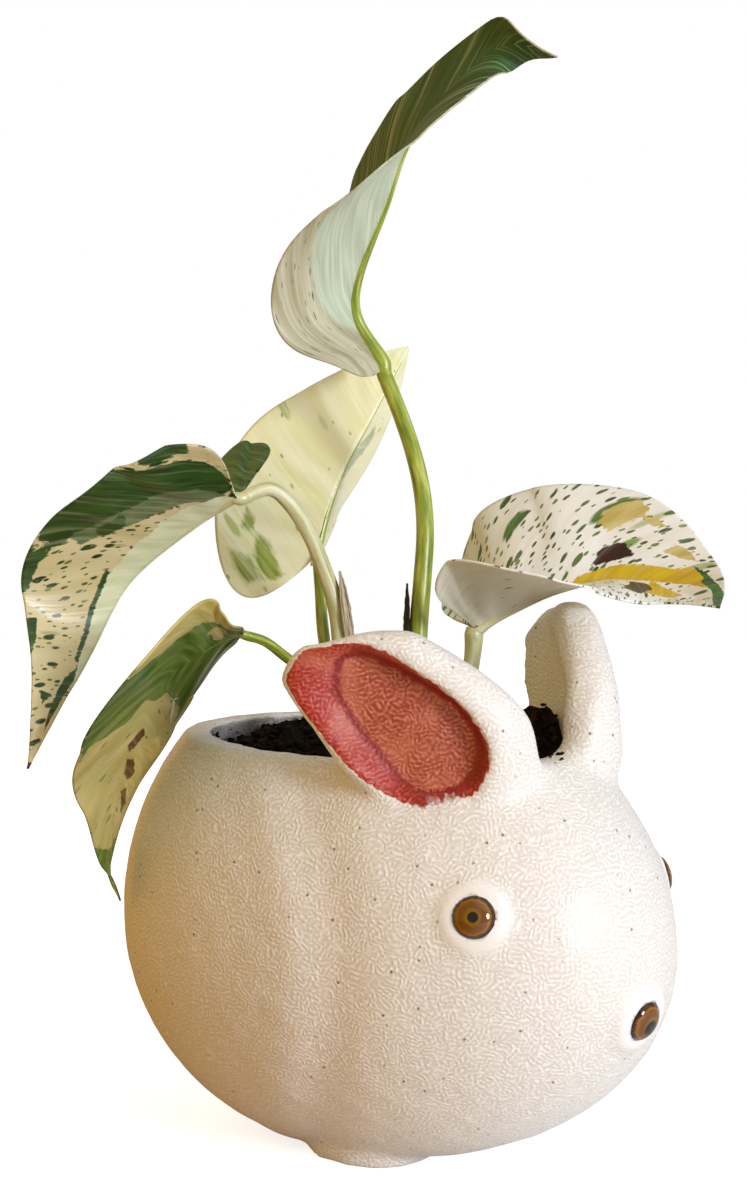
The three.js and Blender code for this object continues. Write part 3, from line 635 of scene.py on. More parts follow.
def ground_z(x, y):
    """The height of the ground at a spot."""
    crumbs = math.sin(x * 0.9) * math.cos(y * 0.8) + 0.6 * math.sin(x * 0.37 + y * 0.53)
    clumps = noise.noise(Vector((x, y, 0)) * 0.28) + 0.5 * noise.noise(Vector((x, y, 5)) * 0.7)
    heap = sum(high * bell(math.hypot(x - at[0], y - at[1]), wide) for at, high, wide in HEAPS)
    sunk = SUNK_DEPTH * ramp(24, 46, 0.713 * y - 0.701 * x)
    rise = SOIL_RISE * min(1, max(0, (y + 40) / 60))
    return SOIL_EDGE_Z + rise + 0.5 * crumbs + 1.1 * clumps + heap - sunk


def ground_point(u, v):
    """A point of the ground, from a square to the oval of the hollow."""
    across, along = u * math.sqrt(1 - v * v / 2), v * math.sqrt(1 - u * u / 2)
    reach = math.sqrt(1 - ((SOIL_EDGE_Z - BODY_MIDDLE.z) / (BODY_TOP - WALL)) ** 2) * 1.012
    y = BODY_MIDDLE.y + along * reach * ((BODY_FRONT if along < 0 else BODY_REAR) - WALL)
    x = across * reach * (BODY_HALF_WIDTH - WALL)
    return Vector((x, y, ground_z(x, y)))


def on_wall(turn, low, high):
    """A spot on the inside of the pot's wall, at a turn round it and between two heights."""
    spot = egg(Vector((math.cos(turn), math.sin(turn), 0)) * 0.71 + Vector((0, 0, 0.705)), WALL + 0.1)
    return Vector((spot.x, spot.y, random.uniform(low, high)))


random.seed(11)
bpy.ops.object.select_all(action="DESELECT")
bpy.ops.mesh.primitive_grid_add(x_subdivisions=90, y_subdivisions=120, size=2)
soil = bpy.context.object
soil.name = "potting_soil"
for v in soil.data.vertices:
    v.co = ground_point(v.co.x, v.co.y) * MM

crumb_places = []
for _ in range(LOOSE_CRUMBS):
    spot = ground_point(random.uniform(-0.98, 0.98), random.uniform(-0.98, 0.98))
    crumb_places.append((spot + Vector((0, 0, random.uniform(0, 0.8))), random.uniform(0.5, 1.7)))
for _ in range(WALL_CRUMBS):
    turn = random.uniform(0, 2 * math.pi)
    crumb_places.append((on_wall(turn, 97, 100.5), random.uniform(0.25, 0.6)))
for _ in range(SUNK_SIDE_CRUMBS):
    turn = math.radians(random.uniform(105, 165))
    crumb_places.append((on_wall(turn, 94, 100.5), random.uniform(0.35, 0.8)))
pot_skin = BVHTree.FromObject(pot, bpy.context.evaluated_depsgraph_get())
for _ in range(RIM_CRUMBS):
    above = Vector((random.uniform(2, 12), random.uniform(-53, -45), RIM_Z + 19)) * MM
    spot = pot_skin.ray_cast(above, Vector((0, 0, -1)))[0]
    if spot and abs(spot.z / MM - RIM_Z) < 2:
        crumb_places.append((spot / MM, random.uniform(0.4, 0.9)))
bpy.ops.object.select_all(action="DESELECT")
bpy.ops.mesh.primitive_ico_sphere_add(subdivisions=1, radius=1)
crumb = bpy.context.object
crumb_points = [v.co.copy() for v in crumb.data.vertices]
crumb_faces = [tuple(p.vertices) for p in crumb.data.polygons]
bpy.data.objects.remove(crumb)
points, faces = [], []
for spot, size in crumb_places:
    stretch = Vector((random.uniform(0.7, 1.3), random.uniform(0.7, 1.3), random.uniform(0.5, 0.9))) * size
    faces += [tuple(len(points) + i for i in f) for f in crumb_faces]
    points += [(spot + stretch * p * random.uniform(0.75, 1.15)) * MM for p in crumb_points]
crumbs = bpy.data.meshes.new("crumbs")
crumbs.from_pydata(points, [], faces)
crumbs = bpy.data.objects.new("crumbs", crumbs)
bpy.context.scene.collection.objects.link(crumbs)
bpy.ops.object.select_all(action="DESELECT")
crumbs.select_set(True)
soil.select_set(True)
bpy.context.view_layer.objects.active = soil
bpy.ops.object.join()
soil.data.materials.clear()
soil.data.materials.append(earth)
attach(soil, "root")
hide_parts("soil")

# VINES AND LEAF STALKS
# Two thick green vines stand rooted in the soil, each with a ring where its leaves part from it. The stalks that
# grow from them are smooth and round with a low channel, and hold the blades up.

VINES = {"vine_back": [(3.5, 17, 62), (2.6, 18.4, 85), (2.2, 19.1, 110)],
         "vine_front": [(13, 3, 62), (14.6, 4.7, 85), (15.6, 5.6, 110)]}
VINE_RADIUS = 2.9
VINE_RING = 0.25
STALK_SWELL = 0.12
STALK_CHANNEL = 0.12

# Living green stalk: smooth and waxy with a soft, long shine. Fine yellow-green stripes run along it, nine of
# them round it and 11 mm long.
green_stem, tree, skin = material("green_leaf_stalk", 0.35)
wrap = add(tree, "UVMap", uv_map="UVMap").outputs[0]
stripe_at = add(tree, "VectorMath", {0: wrap, 1: (9, 10 / 11.1, 0)}, operation="MULTIPLY").outputs[0]
stripes = add(tree, "TexNoise", {"Vector": stripe_at, "Scale": 1.0, "Detail": 3}).outputs["Fac"]
tone = tones(tree, stripes, (0.3, "#66811e"), (0.42, "#84972c"), (0.55, "#a3b03f"), (0.64, "#b9c35e"),
             (0.75, "#d6db98"))
tree.links.new(tone, skin.inputs["Base Color"])
skin.inputs["Coat Weight"].default_value = 0.25
skin.inputs["Coat Roughness"].default_value = 0.2
raise_skin(tree, stripes, 0.25, 0.4)


def recoloured(made, name, *colours):
    """A copy of a material with other colours at its stops."""
    other = made.copy()
    other.name = name
    ramps = [node.color_ramp for node in other.node_tree.nodes if node.type == "VALTORGB"]
    for stop, colour in zip(ramps[0].elements, colours):
        stop.color = srgb(colour)
    return other


# A stalk that has hardly any green in it, the same to the touch: it reads as ivory
pale_stem = recoloured(green_stem, "pale_leaf_stalk", "#b1b172", "#c9c98e", "#dad8ab", "#e5e3c2", "#f0eed8")


def even_line(points, steps):
    """Points at even distances along a smooth curve, with the direction at each."""
    fine = [smooth_line(points, i / 400) for i in range(401)]
    far = [0]
    for a, b in zip(fine, fine[1:]):
        far.append(far[-1] + (b - a).length)
    line = []
    i = 0
    for k in range(steps + 1):
        wanted = far[-1] * k / steps
        while i < 399 and far[i + 1] < wanted:
            i += 1
        f = (wanted - far[i]) / max(far[i + 1] - far[i], 1e-9)
        line.append((fine[i].lerp(fine[i + 1], min(1, f)), (fine[i + 1] - fine[i]).normalized()))
    return line, far[-1]


def tube(name, points, radius_at, sides=20, steps=64, round_end=1.2):
    """A grid rolled up along a curve, with rounded closed ends. Its UV map runs round it and along it in cm."""
    bpy.ops.object.select_all(action="DESELECT")
    bpy.ops.mesh.primitive_grid_add(x_subdivisions=sides, y_subdivisions=steps, size=2)
    made = bpy.context.object
    made.name = name
    line, length = even_line([Vector(p) for p in points], steps)
    side = line[0][1].orthogonal().normalized()
    frames = []
    for centre, along in line:
        side = (side - along * side.dot(along)).normalized()
        frames.append((centre, side, along.cross(side)))
    layer = made.data.uv_layers[0]
    for loop in made.data.loops:
        co = made.data.vertices[loop.vertex_index].co
        layer.data[loop.index].uv = ((co.x + 1) / 2, (co.y + 1) / 2 * length / 10)
    for v in made.data.vertices:
        t = (v.co.y + 1) / 2
        angle = math.pi * (v.co.x + 1)
        centre, one, other = frames[round(t * steps)]
        from_end = min(t, 1 - t) * length
        closing = math.sqrt(max(0, 1 - max(0, 1 - from_end / round_end) ** 2))
        radius = radius_at(t, angle) * closing
        v.co = (centre + one * radius * math.cos(angle) + other * radius * math.sin(angle)) * MM
    outward(made)
    for face in made.data.polygons:
        face.use_smooth = True
    made.data.materials.clear()
    return made


def vine_radius(t, angle):
    """A stem with three low ridges, and a ring near its top."""
    return VINE_RADIUS + VINE_RING * bell(t - 0.84, 0.02) + 0.12 * math.sin(3 * angle)


for name, points in VINES.items():
    vine = tube(f"{name}_stem", points, vine_radius, sides=24, steps=80, round_end=2)
    vine.data.materials.append(green_stem)
    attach(vine, "root")
    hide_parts(name)


def stalk(name, points, foot, thin, stem, flare=0):
    """A leaf stalk, wider at its foot, a little channelled, and flared where the blade starts."""
    def radius(t, angle):
        swell = STALK_SWELL * ramp(0.1, 0, t)
        channel = STALK_CHANNEL * max(0, math.cos(angle)) ** 6
        return (foot + (thin - foot) * t) / 2 * (1 + swell - channel + flare * ramp(0.72, 1, t))

    made = tube(f"{name}_stalk", points, radius)
    made.data.materials.append(stem)
    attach(made, "root")
    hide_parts(name)


# BLADES
# Each blade is one living sheet half a mm thick, folded along its midrib and rolled. It hangs on the end of its
# stalk, whose midrib runs on below it. Side veins quilt it, and cream and green lie along them.

BLADE_THICKNESS = 0.5
LONG_CELLS = 128
WIDE_CELLS = 64
SIDE_VEINS = 10
QUILT_HEIGHT = 0.16
WAVE_HEIGHT = 0.8
WAVE_LENGTH = 34
EDGE_CURL = 0.01
MIDRIB_TIP = 0.35
CHANNELS = ("green", "grey", "yellow", "brown")
# Each leaf below says: "midrib", points from the stalk to the tip. "faces", the way its top looks, turned by
# "roll" along the midrib. "fold_near" and "fold_far", the angles by which its halves are folded, in radians.
# "fullness", "roundness", "lobe", "near_lobe", "lobe_at" and "sinus", its outline. "rib" and "rib_run", the
# radius of the midrib and how soon it thins. "sweep", how far the veins lean. "under_way", -1 where the shown
# side is the underside. "patches", colours and where they lie, by the share of the length and of the half width.


class Midrib:
    """The smooth line along the middle of a blade, measured by distance."""

    def __init__(self, points):
        self.points = [Vector(p) for p in points]
        self.far = [0]
        for i in range(1, 201):
            self.far.append(self.far[-1] + (self.point(i / 200) - self.point((i - 1) / 200)).length)
        self.length = self.far[-1]

    def point(self, t):
        return smooth_line(self.points, t)

    def share(self, distance):
        wanted = min(max(distance, 0), self.length)
        i = 1
        while i < 200 and self.far[i] < wanted:
            i += 1
        return (i - 1 + (wanted - self.far[i - 1]) / (self.far[i] - self.far[i - 1])) / 200

    def tangent(self, t):
        return (self.point(min(1, t + 0.01)) - self.point(max(0, t - 0.01))).normalized()


def blade_point(leaf, rib, share, across, side):
    """One point of the bent blade and the way up there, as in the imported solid."""
    lobe_at = leaf.get("lobe_at", 0.1)
    lobe = 0
    if share > 0:
        lobe = leaf["lobe"] * ((share / lobe_at) * math.exp(1 - share / lobe_at)) ** leaf.get("sinus", 1)
    if side > 0:
        lobe *= leaf.get("near_lobe", 1)
    bulge = max(0, math.sin(math.pi * share ** leaf.get("fullness", 0.6))) ** leaf.get("roundness", 1)
    edge_y = leaf["half_width"] * bulge * (1 - 0.18 * share ** 5)
    root = rib.length * share ** 1.3
    x = root + (rib.length * (share ** 1.2 - lobe) - root) * across
    y = edge_y * across
    t = rib.share(x)
    along = rib.tangent(t)
    base = rib.point(t)
    if x < 0:
        base = base + rib.tangent(0) * x
    faces = Vector(leaf["faces"])
    face = (faces - along * faces.dot(along)).normalized()
    cross = along.cross(face)
    roll = smooth_line(leaf["roll"], t)
    up = face * math.cos(roll) + cross * math.sin(roll)
    out = along.cross(up)
    fold = smooth_line(leaf["fold_near"] if side > 0 else leaf["fold_far"], t)
    curl = EDGE_CURL / leaf["half_width"]
    wave = WAVE_HEIGHT * math.sin(2 * math.pi * x / WAVE_LENGTH + side) * across ** 2 * (1 - share)
    reach = (math.sin(fold + curl * y) - math.sin(fold)) / curl
    rise = (math.cos(fold) - math.cos(fold + curl * y)) / curl
    vein = SIDE_VEINS * share ** 0.9 - 1.5 * across ** 1.2
    fading = min(1, across * 5) * (1 - across ** 4) * min(1, 12 * share * (1 - share))
    quilt = QUILT_HEIGHT * math.cos(2 * math.pi * vein) * fading
    return base + out * (side * reach) + up * (rise + wave + quilt), up, x, y


def blade(name, leaf, stalk_line, top, under, rib_material):
    """The bent sheet of a leaf with its patches, and the midrib that runs on from the stalk below it."""
    under_way = leaf.get("under_way", 1)
    rib = Midrib(leaf["midrib"])
    patches = [(channel, to_size(edge, rib.length, leaf["half_width"])) for channel, edge in leaf["patches"]]
    bpy.ops.object.select_all(action="DESELECT")
    bpy.ops.mesh.primitive_grid_add(x_subdivisions=LONG_CELLS, y_subdivisions=WIDE_CELLS, size=2)
    made = bpy.context.object
    made.name = f"{name}_leaf"
    mesh = made.data
    mesh.uv_layers.new(name="flat")
    mesh.attributes.new("paint", "FLOAT_COLOR", "POINT")
    flat, paint = mesh.uv_layers["flat"], mesh.attributes["paint"]
    spots, ups = [], []
    for v in mesh.vertices:
        share = min(0.9995, ((v.co.x + 1) / 2) ** 1.25 * 0.999 + 0.0004)
        across = abs(v.co.y)
        side = 1 if v.co.y >= 0 else -1
        point, up, x, y = blade_point(leaf, rib, share, across, side)
        levels = dict.fromkeys(CHANNELS, 0.0)
        for channel, edge in patches:
            inside = inside_by(share * rib.length, side * across * leaf["half_width"], edge)
            level = min(max(0.5 + inside / 6, 0), 1)
            if channel == "cream":
                for other in ("green", "grey"):
                    levels[other] = min(levels[other], 1 - level)
            else:
                levels[channel] = max(levels[channel], level)
        paint.data[v.index].color = [levels[channel] for channel in CHANNELS]
        spots.append((x - leaf.get("sweep", 0.8) * y, side * y))
        ups.append(up)
        v.co = point * MM
    for loop in mesh.loops:
        x, y = spots[loop.vertex_index]
        flat.data[loop.index].uv = (x / 10, y / 10)
    mesh.materials.clear()
    mesh.materials.append(top)
    mesh.materials.append(under)
    mesh.materials.append(rib_material)
    mesh.update()
    if under_way * sum(p.normal.dot(ups[p.vertices[0]]) for p in mesh.polygons) < 0:
        bpy.ops.object.mode_set(mode="EDIT")
        bpy.ops.mesh.select_all(action="SELECT")
        bpy.ops.mesh.flip_normals()
        bpy.ops.object.mode_set(mode="OBJECT")
    finish(made, "SOLIDIFY", thickness=BLADE_THICKNESS * MM, offset=0, use_even_offset=True, material_offset=1,
           material_offset_rim=leaf.get("pale_edge", 0))
    for face in mesh.polygons:
        face.use_smooth = True

    def rib_radius(t):
        return MIDRIB_TIP + (leaf["rib"] - MIDRIB_TIP) * math.exp(-t / leaf.get("rib_run", 0.2))

    keel = []
    for i in range(41):
        t = i / 40
        point, up, _, _ = blade_point(leaf, rib, max(0.0005, t ** 1.3 * 0.97), 0, 1)
        keel.append(point - up * under_way * 0.8 * rib_radius(t ** 1.3) * (1 - math.exp(-t * 25)))
    end = Vector(stalk_line[-1])
    back = (Vector(stalk_line[-2]) - end).normalized()
    keel[:1] = [end + back * 5, end + back * 2.5, end]
    spine = tube("spine", keel, lambda t, angle: rib_radius(max(0, t - 0.05)), sides=16, steps=110, round_end=3)
    spine.data.materials.append(rib_material)
    spine.data.uv_layers.new(name="flat")
    bpy.ops.object.select_all(action="DESELECT")
    spine.select_set(True)
    made.select_set(True)
    bpy.context.view_layer.objects.active = made
    bpy.ops.object.join()
    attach(made, "root")
    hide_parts(name)


def on_map(size):
    """The scale of a pattern with cells of that many mm, on a blade's flat map, which is in cm."""
    return 10 / size


def leaf_skin(name, ground, zones, flecks, veins, roughness=0.34, coat=0.2, soft=0.025):
    """A living leaf's skin. Above, a waxy soft gloss that shows every quilt; below, matt and paler.

    It has two ground colours that change over 7 mm, then flecks, then the patches with edges that wander by
    1 mm, then pale veins 1.8 mm apart. A kind of fleck has its spacing in mm, how long it is for its width, the
    share of places that have one, its greatest radius for its spacing, and its two colours."""
    made, tree, skin = material(name, roughness)
    place = add(tree, "UVMap", uv_map="flat").outputs[0]
    along_veins = add(tree, "VectorMath", {0: place, 1: (1, 0.3, 1)}, operation="MULTIPLY").outputs[0]
    clouds = add(tree, "TexNoise", {"Vector": along_veins, "Scale": on_map(7.14), "Detail": 2}).outputs["Fac"]
    colour = blend(tree, between(tree, clouds, 0.35, 0.65), *ground)
    wander = add(tree, "TexNoise", {"Vector": along_veins, "Scale": on_map(1.11), "Detail": 3, "Roughness": 0.6})
    pushed = add(tree, "VectorMath", {0: wander.outputs["Color"], "Scale": 0.09}, operation="SCALE").outputs[0]
    pushed = add(tree, "VectorMath", {0: place, 1: pushed}, operation="ADD").outputs[0]
    for spacing, stretch, share, radius, dark, pale in flecks:
        scale = (on_map(spacing), on_map(spacing * stretch), 1)
        spread = add(tree, "VectorMath", {0: pushed, 1: scale}, operation="MULTIPLY").outputs[0]
        spots = add(tree, "TexVoronoi", {"Vector": spread, "Scale": 1, "Randomness": 0.9}, voronoi_dimensions="2D")
        own = add(tree, "SeparateColor", {0: spots.outputs["Color"]}).outputs
        reach = add(tree, "MapRange", {0: own[1], 3: radius * 0.25, 4: radius}).outputs[0]
        disc = between(tree, sums(tree, "SUBTRACT", spots.outputs["Distance"], reach), 0.03, -0.03)
        disc = sums(tree, "MULTIPLY", disc, sums(tree, "LESS_THAN", own[0], share))
        colour = blend(tree, disc, colour, blend(tree, own[2], dark, pale))
    paint = add(tree, "Attribute", attribute_name="paint")
    parts = add(tree, "SeparateColor", {0: paint.outputs["Color"]}).outputs
    levels = {"green": parts[0], "grey": parts[1], "yellow": parts[2], "brown": paint.outputs["Alpha"]}
    depth = add(tree, "TexNoise", {"Vector": along_veins, "Scale": on_map(2.86), "Detail": 3}).outputs["Fac"]
    deepened = between(tree, depth, 0.35, 0.65)
    for channel, dark, pale in zones:
        edge = sums(tree, "MULTIPLY_ADD", wander.outputs["Fac"], 0.4, levels[channel])
        zone = between(tree, edge, 0.7 - soft, 0.7 + soft)
        colour = blend(tree, zone, colour, blend(tree, deepened, dark, pale))
    across_veins = add(tree, "VectorMath", {0: place, 1: (1, 0.07, 1)}, operation="MULTIPLY").outputs[0]
    lines = add(tree, "TexNoise", {"Vector": across_veins, "Scale": on_map(1.82), "Detail": 3}).outputs["Fac"]
    colour = blend(tree, between(tree, lines, 0.52, 0.72, veins[0]), colour, veins[1])
    tree.links.new(colour, skin.inputs["Base Color"])
    skin.inputs["Coat Weight"].default_value = coat
    skin.inputs["Coat Roughness"].default_value = 0.25
    raise_skin(tree, lines, 0.3, 0.6)
    return made


# THE TALL LEAF
# The highest leaf grows on a thick stalk from the front vine. It shows us its pale, matt underside with grey-green
# along one edge, and a little of its dark green top.

TALL = {"midrib": [(24.5, 26.7, 191.3), (18.6, 31.5, 208.7), (17.5, 18.6, 232.7), (18.5, 8.3, 251.6),
                   (29, -9.3, 270.3), (30.5, -26.8, 266.5)],
        "faces": (-0.701, 0.713, 0.15), "roll": [-0.14, -0.19, 0.07, 0.47, 0.71],
        "fold_near": [0.16, 0.5, 0.15, 0.07], "fold_far": [0.28, 0.38, 0.06, 0.25],
        "half_width": 33, "lobe": 0.015, "rib": 2.0, "rib_run": 0.25, "sweep": 1.7, "pale_edge": 1,
        "patches": [("grey", [(0.64, 1.1), (0.5, 0.95), (0.42, 0.8), (0.35, 0.62), (0.27, 0.45), (0.2, 0.2),
                              (0.16, -0.05), (0.64, -0.05)])]}
TALL_STALK = [(15.5, 5.5, 105), (16.2, 6.1, 116), (17.4, 6.8, 126), (19.6, 7.5, 139), (21.7, 8.6, 150),
              (23.4, 11.2, 160), (24.6, 15.4, 170), (25, 20.5, 180), (24.55, 26, 190.6)]
stalk("petiole_tall", TALL_STALK, 5, 4, green_stem)
tall_top = leaf_skin("tall_leaf_top", ("#264a18", "#3b6424"), [], [], (0.75, "#a9bd98"), roughness=0.6, coat=0)
# The underside's beige ground is painted darker than its pale tone: painted shade for its margin, which lies in shade
tall_under = leaf_skin("tall_leaf_underside", ("#a69e78", "#cac3a4"), [("grey", "#b4c0a2", "#cdd7bc")],
                       [(3, 1.2, 0.6, 0.17, "#2f4a1c", "#6f8a4a")], (0.4, "#f3f5ec"),
                       roughness=0.5, coat=0, soft=0.16)
blade("blade_tall", TALL, TALL_STALK, tall_top, tall_under, green_stem)

# THE PALE LEAF BEHIND
# A young leaf of butter yellow hangs between the others on a thin stalk from the back vine. Its pale yellow is
# partly its own and partly painted light, the glow of light shining through it from behind. One half faces us
# nearly flat, with a few soft green clouds. The other half turns away behind it.

BACK = {"midrib": [(13, 38.9, 144), (17.3, 38.8, 155.6), (26.3, 41.2, 167.3), (37.6, 43.9, 178.2),
                   (51.8, 43.4, 197.8)],
        "faces": (-0.71, -0.7, 0.1), "roll": [0.1, 0.1, 0.05, 0, 0],
        "fold_near": [-1.55, -1.45, -1.4, -1.2], "fold_far": [-0.3, -0.3, -0.2, -0.1],
        "half_width": 30.5, "fullness": 0.62, "roundness": 0.72, "rib": 1.3, "rib_run": 0.3,
        "lobe": 0.25, "near_lobe": 0.15, "lobe_at": 0.045, "sinus": 0.4,
        "patches": [("green", [(0.17, -0.62), (0.14, -0.5), (0.08, -0.46), (0.03, -0.5), (0.03, -0.64),
                               (0.09, -0.66)]),
                    ("green", [(0.14, -0.9), (0.11, -0.7), (0.05, -0.68), (0.06, -0.84)]),
                    ("green", [(0.24, -0.72), (0.21, -0.64), (0.17, -0.66), (0.19, -0.76)]),
                    ("grey", [(0.22, 0), (0.42, 0), (0.61, 0.07), (0.73, 0.35), (0.72, 0.55), (0.54, 0.28),
                              (0.31, 0)])]}
BACK_STALK = [(2.3, 19.1, 100.5), (3, 22.6, 104), (3.8, 25.2, 111), (4.6, 27, 119), (5.8, 29.6, 127),
              (8, 32.6, 135), (12.6, 38.5, 143.3)]
stalk("petiole_back", BACK_STALK, 3.9, 2.7, green_stem)
back_zones = [("grey", "#a9b884", "#c3cf9c"), ("green", "#7b9636", "#b3bf62")]
back_flecks = [(9, 2.2, 0.3, 0.16, "#c3cd84", "#dbe19f"), (3.5, 1.3, 0.14, 0.2, "#8aa548", "#c3cd80")]
# Both sides are painted very pale: partly the leaf's own yellow, partly painted light for light shining through it
back_top = leaf_skin("pale_leaf_near_side", ("#fffdd4", "#f5f3b8"), back_zones, back_flecks, (0.45, "#f9f9dc"),
                     soft=0.1)
back_under = leaf_skin("pale_leaf_far_side", ("#fffdd4", "#f4f1b4"), back_zones, back_flecks, (0.45, "#f7f7d6"),
                       roughness=0.5, coat=0, soft=0.1)
blade("blade_back", BACK, BACK_STALK, back_top, back_under, green_stem)

# THE ARCHING LEAF
# The largest leaf bends over at the photo's left, on an ivory stalk from the back vine. Its glossy top faces us:
# dark green, a grey-green band, then cream with green ovals, down to a dry brown tip.

ARCHING = {"midrib": [(-22.6, 30.1, 159.3), (-27.5, 42, 151.7), (-38.2, 53.3, 138.4), (-49.1, 54.6, 122.4),
                      (-65.9, 47, 109.5), (-75.1, 47.4, 96.4)],
           "faces": (-0.701, 0.713, 0.6), "roll": [0.38, 0.41, 0.51, 0.44, 0.37],
           "fold_near": [0.55, 0.59, 0.51, 0.58], "fold_far": [0.62, 0.36, 0.84, 0.54],
           "half_width": 32.7, "lobe": 0.12, "rib": 1.7, "under_way": -1,
           "patches": [("green", [(0.31, -1.05), (0.17, -0.83), (0.1, -0.75), (0.04, -0.6), (0.02, -0.35),
                                  (0.08, -0.22), (0.14, -0.4), (0.2, -0.52), (0.27, -0.56), (0.34, -0.6),
                                  (0.39, -0.66), (0.43, -0.7), (0.49, -0.78), (0.5, -0.97), (0.48, -1.05),
                                  (0.36, -1.05)]),
                       ("green", [(0.21, -0.97), (0.19, -1.05), (0.12, -1.05), (0.12, -0.88), (0.16, -0.88),
                                  (0.19, -0.9)]),
                       ("grey", [(0.47, -0.8), (0.43, -0.75), (0.39, -0.72), (0.34, -0.65), (0.27, -0.6),
                                 (0.2, -0.6), (0.12, -0.4), (0.06, -0.2), (0.12, -0.2), (0.2, -0.32), (0.3, -0.38),
                                 (0.38, -0.48), (0.43, -0.55), (0.47, -0.62)]),
                       ("green", [(0.43, -0.65), (0.36, -0.6), (0.35, -0.57), (0.37, -0.48), (0.43, -0.53)]),
                       ("green", [(0.52, -0.97), (0.48, -0.78), (0.53, -0.86), (0.6, -0.91), (0.64, -1.05),
                                  (0.5, -1.05)]),
                       ("green", [(0.7, -1.05), (0.67, -0.82), (0.73, -0.86), (0.8, -1.05)]),
                       ("green", [(0.68, 0.02), (0.78, -0.2), (0.89, -0.34), (0.92, -0.15), (0.85, -0.1),
                                  (0.73, 0.02)]),
                       ("green", [(0.85, -0.8), (0.84, -0.3), (0.87, -0.6)]),
                       ("green", [(-0.1, 0.12), (0.28, 0.12), (0.28, 1.1), (-0.1, 1.1)]),
                       # This thin green band beside the pale strip is painted shadow: the shade along the fold by the
                       # midrib
                       ("green", [(0.48, -0.27), (0.62, -0.21), (0.72, -0.16), (0.72, -0.1), (0.6, -0.14),
                                  (0.48, -0.19)]),
                       ("yellow", [(-0.05, 0.08), (0.03, -0.14), (0.12, -0.22), (0.25, -0.27), (0.4, -0.25),
                                   (0.52, -0.2), (0.64, -0.14), (0.74, -0.08), (0.84, 0.08)]),
                       ("brown", [(0.985, -1.1), (0.985, 1.1), (1.05, 1.1), (1.05, -1.1)])]}
ARCHING_STALK = [(2.2, 19.1, 104), (2.3, 19.3, 116), (2.2, 19.8, 126), (1.2, 20.8, 134), (-1, 22.4, 142),
                 (-4, 24, 150), (-8.6, 26.1, 157.6), (-14, 28, 161.8), (-22, 30, 159.5)]
stalk("petiole_arching", ARCHING_STALK, 4.8, 3.4, pale_stem)
oval_flecks = [(7, 3, 0.45, 0.16, "#8f9458", "#bdb584"), (3.6, 1.35, 0.62, 0.31, "#182c10", "#2b4a1c"),
               (1.7, 1.4, 0.5, 0.28, "#2b4a1c", "#8d8f50")]
arching_top = leaf_skin("arching_leaf_top", ("#cfc18e", "#ded2a4"),
                        [("grey", "#53643c", "#7b8a62"), ("green", "#1f3d15", "#355c22"),
                         ("yellow", "#d3dcae", "#eaeecb"), ("brown", "#2e1408", "#4a2412")],
                        oval_flecks, (0.26, "#cfd2b0"))
arching_under = leaf_skin("arching_leaf_underside", ("#e3eadb", "#d6e1ca"),
                          [("green", "#24501a", "#3f7a2c"), ("brown", "#3a1c0c", "#5a3018")],
                          [(5, 1.6, 0.3, 0.16, "#3f5f30", "#7b9068")], (0.35, "#c2d1b4"), roughness=0.5, coat=0)
blade("blade_arching", ARCHING, ARCHING_STALK, arching_top, arching_under, pale_stem)

# THE LOW LEAF
# A smaller leaf hangs by a thin green stalk from the back vine, close to the pot at the photo's left. Its top
# faces us: green with a yellow fold, then cream with green squiggles and rusty streaks, down to a narrow tip.

LOW = {"midrib": [(-29.4, 21.8, 127.2), (-36.5, 25.1, 124.2), (-51, 26.2, 116.8), (-54.2, 33.7, 102.6),
                  (-53.6, 41, 87.8), (-53.2, 44.5, 71.6), (-52, 41.2, 61.9)],
       "faces": (-0.705, 0.149, 0.634), "roll": [0.5, 0.49, 0.55, 0.54, 0.59],
       "fold_near": [-0.21, -0.28, -0.15, -0.13], "fold_far": [0.19, 0.25, 0.26, 0.19],
       "half_width": 22.5, "fullness": 0.72, "lobe": 0.02, "rib": 1.2, "under_way": -1,
       "patches": [("grey", [(-0.05, -0.6), (0.06, -0.66), (0.13, -0.68), (0.23, -0.6), (0.31, -0.64), (0.37, -0.7),
                             (0.41, -1.05), (0.46, -1.05), (0.53, -0.95), (0.52, -0.62), (0.5, -0.25), (0.44, -0.15),
                             (0.45, 0.1), (0.38, 0.4), (0.33, 0.6), (0.27, 1.05), (-0.05, 1.05)]),
                   ("green", [(0.36, -0.72), (0.39, -1.05), (0.48, -1.05), (0.57, -0.97), (0.5, -0.8), (0.46, -0.72),
                              (0.41, -0.62), (0.37, -0.58)]),
                   ("cream", [(0.21, -0.35), (0.18, -0.57), (0.11, -0.57), (0.12, -0.17), (0.18, -0.25)]),
                   ("yellow", [(0.1, -0.72), (0.23, -0.66), (0.36, -0.75), (0.38, -1.1), (0.1, -1.1)]),
                   ("yellow", [(0.6, 0.2), (0.58, 0.65), (0.65, 0.9), (0.7, 0.75), (0.78, 0.7), (0.73, 0.3)]),
                   ("brown", [(0.59, -0.08), (0.54, 0.12), (0.56, 0.26), (0.6, 0.16), (0.61, 0.02)]),
                   ("brown", [(0.63, 0.02), (0.64, 0.2), (0.69, 0.42), (0.71, 0.3), (0.68, 0.1)]),
                   ("brown", [(0.73, 0.12), (0.73, 0.38), (0.78, 0.72), (0.79, 0.45)]),
                   ("grey", [(0.84, -1.1), (0.88, 0), (0.84, 1.1), (1.05, 1.1), (1.05, -1.1)])]}
LOW_STALK = [(2.3, 19, 101), (-1.4, 19.8, 104.5), (-5, 20.2, 111.2), (-10.2, 20.5, 116.9), (-16.5, 20.3, 121),
             (-23, 20.2, 125), (-28.8, 21.6, 127)]
stalk("petiole_low", LOW_STALK, 3, 2.4, green_stem)
low_flecks = [(6, 2.4, 0.6, 0.24, "#7f9444", "#b3b274"), (2.6, 1.8, 0.5, 0.27, "#4f6c24", "#a3a45c")]
